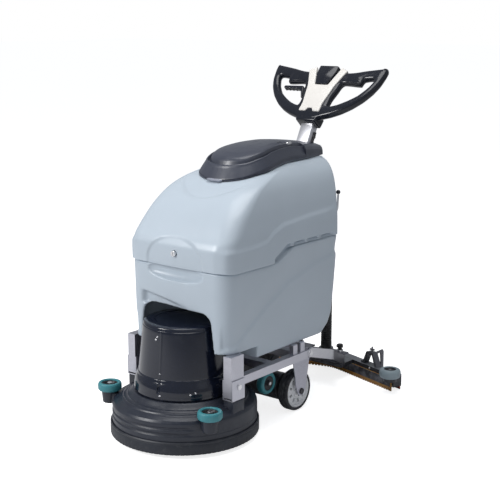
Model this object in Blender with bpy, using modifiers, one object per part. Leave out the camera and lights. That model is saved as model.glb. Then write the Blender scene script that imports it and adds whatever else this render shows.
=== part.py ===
"""A walk-behind floor scrubber: a round brush deck in front, two stacked water tanks on a stainless
chassis, a steering column with a two-window handle, and a curved squeegee behind.

Metres, +Z up. The machine drives towards -Y, and X runs across it. Sizes are written from the brush
axis, on the floor; the last step moves the whole machine so that the middle of its length is at Y = 0.
"""

import math

import bmesh
import bpy
from mathutils import Matrix, Vector

GAP = 0.0003  # between pieces that touch
FIT = 0.0010  # round a pin or a shaft that turns
SIDES = (("left", -1), ("right", 1))

# Brush deck, round the brush axis.
DECK_R = 0.2240
SKIRT_R = 0.2300
SKIRT_WALL = 0.0050
SKIRT_LOW_Z = 0.0120
SKIRT_TOP_Z = 0.0500
DECK_SIDE_TOP_Z = 0.1080
DECK_TOP_Z = 0.1470
DECK_WALL = 0.0060
DECK_BORE_R = 0.0300
SEAT_R = 0.1580
BRISTLE_OUT_R = 0.2160
BRISTLE_IN_R = 0.1200
BRISTLE_LEN = 0.0320
BRUSH_PLATE_T = 0.0120
BRUSH_SHAFT_R = 0.0200
MOTOR_R = 0.0800
MOTOR_TOP_Z = 0.3300
BELL_TOP_R = 0.1250
BELL_LOW_R = 0.1400
BELL_FLANGE_R = 0.1550
BELL_TOP_Z = 0.3650
BELL_WALL = 0.0030

# Guard rollers on the deck's ears.
GUARD_X = 0.2060
GUARD_Y = -0.1200
GUARD_R = 0.0370
GUARD_H = 0.0260
GUARD_Z = 0.1230
GUARD_PIN_R = 0.0060
EAR_R = 0.0260
EAR_LOW_Z = 0.0850

# Chassis.
FRAME_OUT_X = 0.2120
POST_W = 0.0300
POST_D = 0.0580
POST_FRONT_Y = -0.0300
POST_LOW_Z = 0.1580
RAIL_W = 0.0250
RAIL_H = 0.0260
RAIL_LOW_Z = 0.1900
RAIL_REAR_Y = 0.3550
UPRIGHT_YS = (0.2950, 0.3340)
CLEVIS_T = 0.0035
CLEVIS_LOW_Z = 0.1500
CLEVIS_TOP_Z = 0.2120
DECK_PIVOT_Z = 0.1900
PIVOT_BOLT_R = 0.0050

# Driving wheels and their carrier.
WHEEL_R = 0.0680
WHEEL_Y = 0.3680
WHEEL_OUT_X = 0.1680
WHEEL_W = 0.0380
RIM_R = 0.0570
FORK_T = 0.0040
FORK_W = 0.0940
DRIVE_R = 0.0450
DRIVE_Y = 0.3450
DRIVE_Z = 0.0780
AXLE_R = 0.0100
IDLER_X = 0.1200
IDLER_Y = 0.2550
IDLER_Z = 0.1150
IDLER_R = 0.0370

# Tanks.
TANK_W = 0.2020
TANK_FRONT_Y = -0.0400
TANK_REAR_Y = 0.6350
REAR_BOW = 0.0500
REAR_CURVE = 0.0400
FRONT_CORNER_R = 0.0560
REAR_CORNER_R = 0.0250
SEAM_Z = 0.5300
SEAM_RISE = 0.0370
SEAM_STEP_Y = (0.1800, 0.2580)
SEAM_GAP = 0.0006
TANK_LOW_Z = 0.2470
LEG_LOW_Z = 0.2850
LEG_END_Y = 0.1150
TANK_TOP_Z = 0.8060
TANK_WALL = 0.0100
CAVITY_LOW_Z = 0.6000
RECESS_TOP_Z = 0.4050
RECESS_TOP_W = 0.1330
RECESS_LOW_W = 0.1500
RECESS_R = 0.1650
BAY_FRONT_Y = 0.1780
BAY_W = 0.1780
BAY_LOW_Z = 0.2590
BATTERY = (0.1700, 0.3200, 0.2200)
FINGER_W = 0.1100
FINGER_H = 0.0220
FINGER_D = 0.0180
LOCK_R = 0.0090
LOCK_Z = 0.5720
HINGE_Z = 0.5685

# Lid and rear cover.
LID_FRONT_Y = 0.1480
LID_REAR_Y = 0.5000
COVER_REAR_Y = 0.6450
LID_HALF_W = 0.1220
LID_PIVOT_Z = 0.8655

# Column and handle, in the handle's own leaning plane.
COLUMN_FOOT_Y = 0.5970
COLUMN_LEAN = math.radians(27)
COLUMN_W = 0.0500
COLUMN_D = 0.0320
HANDLE_ROOT = (0.0, 0.6233, 0.9100)
HANDLE_LEAN = math.radians(41.4)
HANDLE_HALF_W = 0.2290
HANDLE_H = 0.2360
HANDLE_T = 0.0280
HANDLE_EDGE = 0.0070
WINDOW_IN = 0.265  # share of the handle's half width
BOSS = (0.0410, 0.0040, 0.0400)
COVER_SEAT = 0.0040
COVER_FRONT = 0.0165
HOUSING_FRONT = 0.0205
HOUSING_W = 0.0390
HOUSING_TOP = 0.2300
HOUSING_BACK = -0.0450
BUTTON_R = 0.0070
BUTTON_TRAVEL = 0.0020

# Squeegee.
SQ_MID_Y = 0.8240
SQ_SWEEP = 0.3100
SQ_NOSE = 0.0250
SQ_HALF_W = 0.3220
SQ_BODY_W = 0.0360
SQ_LOW_Z = 0.0150
SQ_TOP_Z = 0.0580
BLADE_T = 0.0035
BLADE_TOP_Z = 0.0440
ARM_PIVOT_Y = 0.3700
ARM_PIVOT_Z = 0.2030
ARM_T = 0.0050
ARM_H = 0.0340
CARRIER_Z = 0.0900
CARRIER_T = 0.0050
END_ROLLER_R = 0.0365
END_ROLLER_H = 0.0300
END_ROLLER_X = 0.3140
END_ROLLER_AHEAD = 0.0400
CASTER_X = 0.1920
CASTER_R = 0.0200
CASTER_BACK = 0.0480
ARCH_HALF_W = 0.0350
ARCH_TOP_Z = 0.1060
KNOB_X = 0.0860
KNOB_Y = 0.7260
KNOB_R = 0.0125
HOSE_R = 0.0200
HOSE_Y = 0.7650
SOCKET_Z = 0.4300

# Lift lever on the rear wall.
LEVER_X = 0.1500
LEVER_Z = 0.6290
LEVER_LEN = 0.0620
LEVER_ROD_R = 0.0035
LEVER_BALL_R = 0.0075



def sweep_y(x):
    """The squeegee's middle line: a rounded V, swept forward towards its ends."""
    return SQ_MID_Y - SQ_SWEEP * (math.hypot(x, SQ_NOSE) - SQ_NOSE)


CASTER_Y = sweep_y(CASTER_X) + CASTER_BACK
REAR_Y = sweep_y(0) + SQ_BODY_W / 2 + GAP + BLADE_T
MID_Y = (REAR_Y - SKIRT_R) / 2

parts = None


# --- small tools ---------------------------------------------------------------------------------


def clear_scene():
    for obj in list(bpy.data.objects):
        bpy.data.objects.remove(obj)
    for block in list(bpy.data.collections):
        bpy.data.collections.remove(block)


def material(name, colour, roughness, metallic=0.0):
    mat = bpy.data.materials.get(name)
    if mat:
        return mat
    mat = bpy.data.materials.new(name)
    mat.use_nodes = True
    shader = mat.node_tree.nodes["Principled BSDF"]
    shader.inputs["Base Color"].default_value = (*colour, 1)
    shader.inputs["Roughness"].default_value = roughness
    shader.inputs["Metallic"].default_value = metallic
    return mat


def blue_plastic():
    return material("tank_plastic", (0.42, 0.52, 0.60), 0.40)


def charcoal_plastic():
    return material("charcoal_plastic", (0.035, 0.038, 0.050), 0.42)


def black_gloss():
    return material("black_gloss", (0.010, 0.011, 0.014), 0.15)


def black_matt():
    return material("black_matt", (0.016, 0.016, 0.018), 0.60)


def stainless():
    return material("stainless", (0.62, 0.62, 0.65), 0.28, 1.0)


def zinc():
    return material("zinc_bolt", (0.70, 0.70, 0.72), 0.25, 1.0)


def teal_rubber():
    return material("teal_rubber", (0.08, 0.34, 0.40), 0.45)


def cream_plastic():
    return material("cream_plastic", (0.82, 0.79, 0.75), 0.40)


def white_plastic():
    return material("white_plastic", (0.80, 0.80, 0.82), 0.35)


def tyre_rubber():
    return material("tyre_rubber", (0.020, 0.020, 0.022), 0.75)


def made(name, bm, mat, smooth=35, outward=True):
    """An object from a bmesh, in the machine's own coordinates."""
    mesh = bpy.data.meshes.new(name)
    bmesh.ops.remove_doubles(bm, verts=bm.verts, dist=1e-6)
    if outward:
        bmesh.ops.recalc_face_normals(bm, faces=bm.faces)
    bm.to_mesh(mesh)
    bm.free()
    obj = bpy.data.objects.new(name, mesh)
    parts.objects.link(obj)
    return dress(obj, mat, smooth)


def dress(obj, mat, smooth=35):
    obj.data.materials.clear()
    obj.data.materials.append(mat)
    if smooth:
        obj.data.shade_smooth()
        obj.data.set_sharp_from_angle(angle=math.radians(smooth))
    else:
        obj.data.shade_flat()
    return obj


def applied(obj, smooth=35, outward=True):
    """The object with its modifiers and curve settings turned into one plain mesh.

    A cut can leave a hollow whose faces point inwards on purpose, so it keeps its normals."""
    name, mat = obj.name, obj.data.materials[0]
    graph = bpy.context.evaluated_depsgraph_get()
    mesh = bpy.data.meshes.new_from_object(obj.evaluated_get(graph), depsgraph=graph)
    mesh.transform(obj.matrix_world)
    bm = bmesh.new()
    bm.from_mesh(mesh)
    bpy.data.meshes.remove(mesh)
    bpy.data.objects.remove(obj)
    return made(name, bm, mat, smooth, outward)


def boolean(obj, other, operation, smooth=35):
    """Joins the other object to this one or cuts it away, and removes it."""
    step = obj.modifiers.new(operation.lower(), "BOOLEAN")
    step.solver = "EXACT"
    step.operation = operation
    step.object = other
    result = applied(obj, smooth, False)
    bpy.data.objects.remove(other)
    return result


def cut(obj, *others):
    for other in others:
        obj = boolean(obj, other, "DIFFERENCE")
    return obj


def join(obj, *others):
    for other in others:
        obj = boolean(obj, other, "UNION")
    return obj


def bevelled(obj, width, segments=2, angle=40):
    step = obj.modifiers.new("edges", "BEVEL")
    step.width = width
    step.segments = segments
    step.limit_method = "ANGLE"
    step.angle_limit = math.radians(angle)
    return applied(obj)


def box(name, low, high, mat=None, bevel=0.0):
    bm = bmesh.new()
    size = Vector(high) - Vector(low)
    middle = (Vector(high) + Vector(low)) / 2
    bmesh.ops.create_cube(bm, size=1, matrix=Matrix.Translation(middle) @ Matrix.Diagonal((*size, 1)))
    obj = made(name, bm, mat or stainless())
    return bevelled(obj, bevel) if bevel else obj


def rod(name, start, end, radius, mat=None, sides=24, end_radius=None):
    """A round bar, or a cone, from one point to another."""
    start, end = Vector(start), Vector(end)
    bm = bmesh.new()
    turn = (end - start).to_track_quat("Z", "Y").to_matrix().to_4x4()
    bmesh.ops.create_cone(
        bm,
        cap_ends=True,
        segments=sides,
        radius1=radius,
        radius2=radius if end_radius is None else end_radius,
        depth=(end - start).length,
        matrix=Matrix.Translation((start + end) / 2) @ turn,
    )
    return made(name, bm, mat or stainless())


def turned(name, profile, mat, centre=(0, 0, 0), axis="Z", steps=48, closed=False):
    """A profile of (radius, height) points swept round an axis with a Screw."""
    mesh = bpy.data.meshes.new(name)
    ends = [(i, i + 1) for i in range(len(profile) - 1)]
    if closed:
        ends.append((len(profile) - 1, 0))
    mesh.from_pydata([(r, 0, z) for r, z in profile], ends, [])
    obj = bpy.data.objects.new(name, mesh)
    parts.objects.link(obj)
    mesh.materials.append(mat)
    step = obj.modifiers.new("turn", "SCREW")
    step.steps = step.render_steps = steps
    step.use_merge_vertices = True
    step.merge_threshold = 0.0001
    obj = applied(obj)
    turns = {
        "Z": Matrix.Identity(4),
        "X": Matrix.Rotation(math.pi / 2, 4, "Y"),
        "Y": Matrix.Rotation(-math.pi / 2, 4, "X"),
    }
    obj.data.transform(Matrix.Translation(centre) @ turns[axis])
    return obj


def plate(name, outlines, thickness, mat, edge=0.0, place=None):
    """A flat outline, with any holes, extruded evenly to both sides of its plane."""
    curve = bpy.data.curves.new(name, "CURVE")
    curve.dimensions = "2D"
    curve.fill_mode = "BOTH"
    curve.extrude = thickness / 2 - edge
    curve.bevel_depth = edge
    curve.bevel_resolution = 1
    curve.offset = -edge
    for outline in outlines:
        spline = curve.splines.new("POLY")
        spline.points.add(len(outline) - 1)
        for point, (x, y) in zip(spline.points, outline):
            point.co = (x, y, 0, 1)
        spline.use_cyclic_u = True
    curve.materials.append(mat)
    obj = bpy.data.objects.new(name, curve)
    parts.objects.link(obj)
    obj = applied(obj)
    if place:
        obj.data.transform(place)
    return obj


def pipe(name, points, radius, mat, sides=2, smooth=35):
    """A round bar or a hose along a line of points."""
    curve = bpy.data.curves.new(name, "CURVE")
    curve.dimensions = "3D"
    curve.bevel_depth = radius
    curve.bevel_resolution = sides
    curve.use_fill_caps = True
    spline = curve.splines.new("POLY")
    spline.points.add(len(points) - 1)
    for point, where in zip(spline.points, points):
        point.co = (*where, 1)
    curve.materials.append(mat)
    obj = bpy.data.objects.new(name, curve)
    parts.objects.link(obj)
    return applied(obj, smooth)


def loft(name, rings, mat, smooth=50, tip=None):
    """A skin over rings of points, closed with a flat face, or with a fan to a tip."""
    bm = bmesh.new()
    rows = [[bm.verts.new(p) for p in ring] for ring in rings]
    count = len(rows[0])
    for low, high in zip(rows, rows[1:]):
        for i in range(count):
            j = (i + 1) % count
            bm.faces.new((low[i], low[j], high[j], high[i]))
    bm.faces.new(rows[0][::-1])
    if tip is None:
        bm.faces.new(rows[-1])
    else:
        peak = bm.verts.new(tip)
        for i in range(count):
            bm.faces.new((rows[-1][i], rows[-1][(i + 1) % count], peak))
    return made(name, bm, mat, smooth)


def extruded(name, outline, low_x, high_x, mat=None):
    """An outline of (y, z) points extruded across the machine."""
    across = Matrix(((0, 0, 1, (low_x + high_x) / 2), (1, 0, 0, 0), (0, 1, 0, 0), (0, 0, 0, 1)))
    return plate(name, [outline], abs(high_x - low_x), mat or stainless(), place=across)


def seat_origin(obj, point):
    """Moves an object's origin, for instance onto its joint's axis."""
    obj.data.transform(Matrix.Translation(-Vector(point)))
    obj.location = point
    return obj


def under(parent, *children):
    """Parents pieces that were placed in the machine's coordinates."""
    for child in children:
        child.parent = parent
        child.location = Vector(child.location) - Vector(parent.location)


def between(points, t):
    """A value read off a list of (place, value) points, in straight steps."""
    if t <= points[0][0]:
        return points[0][1]
    for (a, va), (b, vb) in zip(points, points[1:]):
        if t <= b:
            return va + (vb - va) * (t - a) / (b - a)
    return points[-1][1]


# --- brush deck ----------------------------------------------------------------------------------


def deck_shell():
    wall = DECK_WALL
    outer = [
        (DECK_BORE_R, DECK_TOP_Z),
        (SEAT_R, DECK_TOP_Z),
        (SEAT_R + 0.008, DECK_TOP_Z - 0.008),
        (SEAT_R + 0.028, DECK_TOP_Z - 0.015),
        (DECK_R - 0.014, DECK_SIDE_TOP_Z + 0.011),
        (DECK_R - 0.003, DECK_SIDE_TOP_Z + 0.005),
        (DECK_R, DECK_SIDE_TOP_Z - 0.004),
        (DECK_R, SKIRT_TOP_Z + 0.034),
        (DECK_R - 0.004, SKIRT_TOP_Z + 0.030),
        (DECK_R - 0.004, SKIRT_TOP_Z + 0.024),
        (DECK_R, SKIRT_TOP_Z + 0.020),
        (DECK_R, SKIRT_LOW_Z + 0.012),
    ]
    inner = [
        (DECK_R - wall, SKIRT_LOW_Z + 0.012),
        (DECK_R - wall, SKIRT_TOP_Z),
        (DECK_R - wall - 0.004, DECK_SIDE_TOP_Z - 0.006),
        (SEAT_R, DECK_TOP_Z - 0.016 - wall),
        (SEAT_R - 0.010, DECK_TOP_Z - wall * 1.6),
        (DECK_BORE_R, DECK_TOP_Z - wall * 1.6),
    ]
    shell = turned("deck_shell", outer + inner, charcoal_plastic(), steps=40, closed=True)
    for _, side in SIDES:
        shell = join(shell, deck_ear(side), deck_lug(side))
    return shell


def deck_ear(side):
    """The bracket that carries a guard roller, moulded on the deck's edge."""
    centre = Vector((side * GUARD_X, GUARD_Y, 0))
    inward = -centre.normalized()
    boss = rod("ear", centre + Vector((0, 0, EAR_LOW_Z)), centre + Vector((0, 0, GUARD_Z - GAP)), EAR_R)
    middle = centre + inward * 0.030
    turn = Matrix.Rotation(math.atan2(inward.y, inward.x), 4, "Z")
    web = box("ear_web", (-0.034, -EAR_R * 0.8, EAR_LOW_Z), (0.034, EAR_R * 0.8, GUARD_Z - 0.006))
    web.data.transform(Matrix.Translation((middle.x, middle.y, 0)) @ turn)
    ear = join(boss, web)
    inside = turned(
        "ear_keep_out",
        [
            (0, DECK_TOP_Z),
            (SEAT_R, DECK_TOP_Z),
            (DECK_R - DECK_WALL - 0.006, DECK_SIDE_TOP_Z),
            (DECK_R - DECK_WALL, 0.06),
            (0, 0.06),
        ],
        stainless(),
        steps=64,
    )
    ear = cut(ear, inside)
    hole = rod("ear_hole", centre, centre + Vector((0, 0, 0.2)), GUARD_PIN_R + GAP)
    return cut(ear, hole)


def deck_lug(side):
    """The pad that the deck's clevis stands on."""
    x = side * (FRAME_OUT_X - POST_W / 2)
    half = POST_W / 2 + CLEVIS_T
    return box(
        "deck_lug",
        (x - half, -0.024, DECK_SIDE_TOP_Z - 0.004),
        (x + half, 0.024, CLEVIS_LOW_Z - GAP),
        charcoal_plastic(),
        0.003,
    )


def deck_skirt():
    profile = [
        (DECK_R + GAP, SKIRT_TOP_Z),
        (SKIRT_R - 0.002, SKIRT_TOP_Z),
        (SKIRT_R, SKIRT_TOP_Z - 0.003),
        (SKIRT_R, SKIRT_LOW_Z),
        (SKIRT_R - SKIRT_WALL, SKIRT_LOW_Z),
        (SKIRT_R - SKIRT_WALL, SKIRT_LOW_Z + 0.004),
        (DECK_R + GAP, SKIRT_LOW_Z + 0.006),
    ]
    return turned("deck_skirt", profile, black_matt(), steps=40, closed=True)


def brush():
    """The driver plate with its shaft, and the ring of bristles under it."""
    low = BRISTLE_LEN + GAP
    top = low + BRUSH_PLATE_T
    profile = [
        (0, DECK_TOP_Z),
        (BRUSH_SHAFT_R, DECK_TOP_Z),
        (BRUSH_SHAFT_R, top + 0.010),
        (BRUSH_SHAFT_R * 2.4, top),
        (BRISTLE_OUT_R - 0.006, top),
        (BRISTLE_OUT_R - 0.006, low),
        (0, low),
    ]
    driver = turned("brush_plate", profile, blue_driver(), steps=40)
    ring = [
        (BRISTLE_IN_R, BRISTLE_LEN),
        (BRISTLE_OUT_R - 0.008, BRISTLE_LEN),
        (BRISTLE_OUT_R, 0),
        (BRISTLE_IN_R - 0.006, 0),
    ]
    tufts = turned("brush_bristles", ring, black_matt(), steps=48, closed=True)
    under(driver, tufts)
    return driver


def blue_driver():
    return material("driver_plastic", (0.30, 0.32, 0.35), 0.50)


def motor_cover():
    wall = BELL_WALL
    low = DECK_TOP_Z + GAP
    outer = [
        (0, BELL_TOP_Z),
        (BELL_TOP_R - 0.014, BELL_TOP_Z),
        (BELL_TOP_R - 0.004, BELL_TOP_Z - 0.004),
        (BELL_TOP_R, BELL_TOP_Z - 0.014),
        (BELL_LOW_R, low + 0.066),
        (BELL_LOW_R + 0.005, low + 0.062),
        (BELL_LOW_R + 0.005, low + 0.026),
        (BELL_FLANGE_R, low + 0.004),
        (BELL_FLANGE_R, low),
    ]
    inner = [
        (BELL_LOW_R - wall, low),
        (BELL_TOP_R - wall, BELL_TOP_Z - 0.016),
        (BELL_TOP_R - 0.016, BELL_TOP_Z - wall - 0.001),
        (0, BELL_TOP_Z - wall - 0.001),
    ]
    return turned("motor_cover", outer + inner, black_gloss(), steps=40)


def brush_motor():
    low = DECK_TOP_Z + GAP
    profile = [
        (0, MOTOR_TOP_Z),
        (MOTOR_R * 0.55, MOTOR_TOP_Z),
        (MOTOR_R * 0.60, MOTOR_TOP_Z - 0.030),
        (MOTOR_R, MOTOR_TOP_Z - 0.036),
        (MOTOR_R, low),
        (0, low),
    ]
    return turned("brush_motor", profile, black_matt(), steps=28)


def guard_roller(name, side):
    """A soft wheel that keeps the deck's edge off walls, and the bolt that it turns on."""
    centre = (side * GUARD_X, GUARD_Y, GUARD_Z)
    hub = GUARD_PIN_R + 0.0005
    profile = [
        (hub, GUARD_H - 0.012),
        (GUARD_R * 0.66, GUARD_H - 0.012),
        (GUARD_R * 0.72, GUARD_H - 0.001),
        (GUARD_R * 0.80, GUARD_H),
        (GUARD_R - 0.003, GUARD_H - 0.003),
        (GUARD_R, GUARD_H - 0.008),
        (GUARD_R, 0.006),
        (GUARD_R - 0.004, GAP),
        (hub, GAP),
    ]
    wheel = turned("guard_roller_" + name, profile, teal_rubber(), centre, steps=24, closed=True)
    head = GUARD_H - 0.012 + GAP
    stem = [
        (0, head + 0.010),
        (0.0075, head + 0.010),
        (0.0085, head),
        (0.0085, head),
        (GUARD_PIN_R, head),
        (GUARD_PIN_R, -0.034),
        (0, -0.034),
    ]
    pin = turned("guard_pin_" + name, stem[:3] + stem[4:], zinc(), centre, steps=16)
    return seat_origin(wheel, centre), pin


def deck_clevis(name, side):
    """The folded bracket that holds the deck to a post, with a bolt across as the deck's pivot."""
    middle = side * (FRAME_OUT_X - POST_W / 2)
    inside = POST_W / 2 + GAP
    half = inside + CLEVIS_T
    rear = POST_FRONT_Y + POST_D
    body = box(
        "deck_clevis_" + name,
        (middle - half, POST_FRONT_Y, CLEVIS_LOW_Z),
        (middle + half, rear, CLEVIS_TOP_Z),
        stainless(),
    )
    slot = box(
        "slot",
        (middle - inside, POST_FRONT_Y - 0.01, CLEVIS_LOW_Z + CLEVIS_T),
        (middle + inside, rear + 0.01, CLEVIS_TOP_Z + 0.01),
    )
    hole = rod(
        "hole",
        (middle - half - 0.01, 0, DECK_PIVOT_Z),
        (middle + half + 0.01, 0, DECK_PIVOT_Z),
        PIVOT_BOLT_R + FIT,
    )
    # The rail leaves the post just behind its foot, so the inner leg is cut short there.
    return cut(body, slot, hole)


def pivot_bolt(name, side):
    outer = side * (FRAME_OUT_X + CLEVIS_T + 2 * GAP)
    inner = side * (FRAME_OUT_X - POST_W - CLEVIS_T - 0.010)
    body = rod("pivot_bolt_" + name, (inner, 0, DECK_PIVOT_Z), (outer, 0, DECK_PIVOT_Z), PIVOT_BOLT_R, zinc())
    start = (outer - side * GAP / 2, 0, DECK_PIVOT_Z)
    head = rod("head", start, (outer + side * 0.005, 0, DECK_PIVOT_Z), PIVOT_BOLT_R * 1.7, zinc(), 6)
    return join(body, head)


# --- chassis -------------------------------------------------------------------------------------


def chassis_frame():
    """Posts, rails, cross tubes and uprights, welded into one."""
    rail_top = RAIL_LOW_Z + RAIL_H
    rear = POST_FRONT_Y + POST_D
    frame = None
    for _, side in SIDES:
        out_x, in_x = side * FRAME_OUT_X, side * (FRAME_OUT_X - POST_W)
        rail_x = side * (FRAME_OUT_X - RAIL_W)
        post_low, post_high = min(out_x, in_x), max(out_x, in_x)
        rail_low, rail_high = min(out_x, rail_x), max(out_x, rail_x)
        pieces = [
            box("post", (post_low, POST_FRONT_Y, POST_LOW_Z), (post_high, rear, LEG_LOW_Z - GAP)),
            box("rail", (rail_low, rear - 0.004, RAIL_LOW_Z), (rail_high, RAIL_REAR_Y, rail_top)),
        ]
        for y in UPRIGHT_YS:
            low = (rail_low + 0.004, y - 0.011, rail_top - 0.004)
            high = (rail_high - 0.006, y + 0.011, TANK_LOW_Z - GAP)
            pieces.append(box("upright", low, high))
        for piece in pieces:
            frame = join(frame, piece) if frame else piece
    inner = FRAME_OUT_X - RAIL_W
    for y in (LEG_END_Y + 0.055, RAIL_REAR_Y - 0.040):
        low = (-inner - 0.004, y, RAIL_LOW_Z + 0.001)
        high = (inner + 0.004, y + 0.030, rail_top - 0.001)
        frame = join(frame, box("cross_tube", low, high))
    for _, side in SIDES:
        across = side * FRAME_OUT_X
        hole = rod(
            "hole",
            (across - side * (POST_W + 0.01), 0, DECK_PIVOT_Z),
            (across + side * 0.01, 0, DECK_PIVOT_Z),
            PIVOT_BOLT_R + GAP,
        )
        lug_hole = rod(
            "hole",
            (across - side * 0.04, RAIL_REAR_Y + 0.015, ARM_PIVOT_Z),
            (across + side * 0.01, RAIL_REAR_Y + 0.015, ARM_PIVOT_Z),
            PIVOT_BOLT_R + GAP,
        )
        lug = box(
            "lug",
            (min(across - side * RAIL_W, across - side * 0.019), RAIL_REAR_Y - 0.004, RAIL_LOW_Z),
            (max(across - side * RAIL_W, across - side * 0.019), RAIL_REAR_Y + 0.027, rail_top),
        )
        frame = cut(frame, hole)
        frame = join(frame, cut(lug, lug_hole))
    frame.name = "chassis_frame"
    return dress(frame, stainless())


def fork_plate(name, side):
    """The plate that hangs from a rail and holds the outer end of the axle."""
    x = side * (WHEEL_OUT_X + 0.006 + FORK_T / 2)
    half, top = FORK_W / 2, RAIL_LOW_Z - GAP
    low = WHEEL_R - 0.014
    outline = [
        (WHEEL_Y - half, top),
        (WHEEL_Y - half, WHEEL_R + 0.020),
        (WHEEL_Y - half * 0.72, WHEEL_R - 0.004),
        (WHEEL_Y - half * 0.35, low),
        (WHEEL_Y + half * 0.35, low),
        (WHEEL_Y + half * 0.72, WHEEL_R - 0.004),
        (WHEEL_Y + half, WHEEL_R + 0.020),
        (WHEEL_Y + half, top),
    ]
    body = extruded("fork_plate_" + name, outline, x - FORK_T / 2, x + FORK_T / 2)
    inner, outer = side * (WHEEL_OUT_X + 0.006), side * (FRAME_OUT_X - ARM_T - 0.001)
    flange = box(
        "flange",
        (min(inner, outer), WHEEL_Y - half, top - 0.004),
        (max(inner, outer), WHEEL_Y + half * 0.2, top),
    )
    hole = rod("hole", (x - 0.02, WHEEL_Y, WHEEL_R), (x + 0.02, WHEEL_Y, WHEEL_R), AXLE_R + GAP)
    return cut(join(body, flange), hole)


def drive_unit():
    """The gear motor across the machine, with the axle through it, bolted under a cross tube."""
    half = WHEEL_OUT_X - WHEEL_W - 0.008
    body = rod("drive_unit", (-half, DRIVE_Y, DRIVE_Z), (half, DRIVE_Y, DRIVE_Z), DRIVE_R, black_matt(), 32)
    reach = WHEEL_OUT_X + 0.006 + FORK_T + 0.004
    axle = rod("axle", (-reach, WHEEL_Y, WHEEL_R), (reach, WHEEL_Y, WHEEL_R), AXLE_R, sides=20)
    foot_y = RAIL_REAR_Y - 0.040
    foot = box(
        "foot",
        (-half * 0.7, foot_y, DRIVE_Z),
        (half * 0.7, foot_y + 0.030, RAIL_LOW_Z + 0.001 - GAP),
    )
    return dress(join(body, axle, foot), black_matt())


def wheel(name, side):
    inner, outer = sorted((side * (WHEEL_OUT_X - WHEEL_W), side * WHEEL_OUT_X))
    half = WHEEL_W / 2
    centre = ((inner + outer) / 2, WHEEL_Y, WHEEL_R)
    bore = AXLE_R + FIT / 2
    tread = [
        (RIM_R + GAP, half - 0.003),
        (WHEEL_R - 0.006, half),
        (WHEEL_R, half - 0.007),
        (WHEEL_R, -half + 0.007),
        (WHEEL_R - 0.006, -half),
        (RIM_R + GAP, -half + 0.003),
    ]
    tyre = turned("wheel_tyre_" + name, tread, tyre_rubber(), centre, "X", 30, True)
    face = half * side
    dish = [
        (bore, face * 0.92),
        (0.020, face * 0.92),
        (0.024, face * 0.60),
        (RIM_R - 0.010, face * 0.60),
        (RIM_R - 0.006, face * 0.95),
        (RIM_R, face * 0.90),
        (RIM_R, -face * 0.80),
        (bore, -face * 0.80),
    ]
    rim = turned("wheel_rim_" + name, dish, white_plastic(), centre, "X", 30, True)
    seat_origin(rim, centre)
    seat_origin(tyre, centre)
    under(rim, tyre)
    return rim


def idler():
    """A free roller on a bracket under the frame."""
    centre = (IDLER_X, IDLER_Y, IDLER_Z)
    r = IDLER_R
    profile = [
        (0.0065, 0.009),
        (r * 0.62, 0.009),
        (r * 0.68, 0.013),
        (r - 0.004, 0.013),
        (r, 0.008),
        (r, -0.008),
        (r - 0.004, -0.013),
        (0.0065, -0.013),
    ]
    roller = turned("idler_roller", profile, teal_rubber(), centre, "X", 24, True)
    seat_origin(roller, centre)
    back = IDLER_X - 0.013 - GAP
    arm = extruded(
        "idler_bracket",
        [
            (IDLER_Y - 0.014, IDLER_Z - 0.014),
            (IDLER_Y + 0.014, IDLER_Z - 0.014),
            (RAIL_REAR_Y - 0.011, RAIL_LOW_Z - 0.012),
            (RAIL_REAR_Y - 0.011, RAIL_LOW_Z + 0.001 - GAP),
            (RAIL_REAR_Y - 0.040, RAIL_LOW_Z + 0.001 - GAP),
            (IDLER_Y - 0.014, IDLER_Z + 0.014),
        ],
        back - 0.006,
        back,
    )
    pin = rod("pin", (back - 0.004, IDLER_Y, IDLER_Z), (IDLER_X + 0.009 + GAP * 2, IDLER_Y, IDLER_Z), 0.006)
    start = (IDLER_X + 0.009 + GAP, IDLER_Y, IDLER_Z)
    head = rod("head", start, (IDLER_X + 0.017, IDLER_Y, IDLER_Z), 0.009)
    return roller, join(arm, pin, head)


# --- tanks ---------------------------------------------------------------------------------------


def rear_wall(x, rear_y):
    share = abs(x) / 0.2
    return rear_y - REAR_BOW * share - REAR_CURVE * share * share


def tank_ring(z, w, front_y, front_r, rear_y, inset=0.0):
    """One level of a tank: a flat front with round corners, straight sides and a bowed rear wall."""
    w, front_y = w - inset, front_y + inset
    rear_y = rear_y - inset * 1.1
    front_r = max(front_r - inset, 0.012)
    half = [(0, front_y), (w * 0.3, front_y + 0.0005), (w - front_r - 0.01, front_y + 0.002)]
    for k in range(6):
        a = math.radians(-90 + 18 * k)
        half.append((w - front_r + front_r * math.cos(a), front_y + 0.003 + front_r * (1 + math.sin(a))))
    corner_y = rear_wall(w, rear_y) - REAR_CORNER_R
    start_y = front_y + front_r + 0.003
    for share in (0.3, 0.65):
        half.append((w, start_y + (corner_y - start_y) * share))
    for k in range(4):
        a = math.radians(20 * k)
        half.append((w - REAR_CORNER_R * (1 - math.cos(a)), corner_y + REAR_CORNER_R * math.sin(a)))
    for share in (0.62, 0.3, 0):
        half.append((w * share, rear_wall(w * share, rear_y)))
    other = [(-x, y) for x, y in half[-2:0:-1]]
    return [(x, y, z) for x, y in half + other]


def seam_cutter(name, above, shift):
    """Everything above, or below, the seam between the tanks, moved up or down a little."""
    front, rear = SEAM_STEP_Y
    line = [
        (-0.3, SEAM_Z + shift),
        (front, SEAM_Z + shift),
        (rear, SEAM_Z + SEAM_RISE + shift),
        (0.9, SEAM_Z + SEAM_RISE + shift),
    ]
    far = 1.2 if above else 0.0
    return extruded(name, line + [(0.9, far), (-0.3, far)], -0.4, 0.4)


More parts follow.
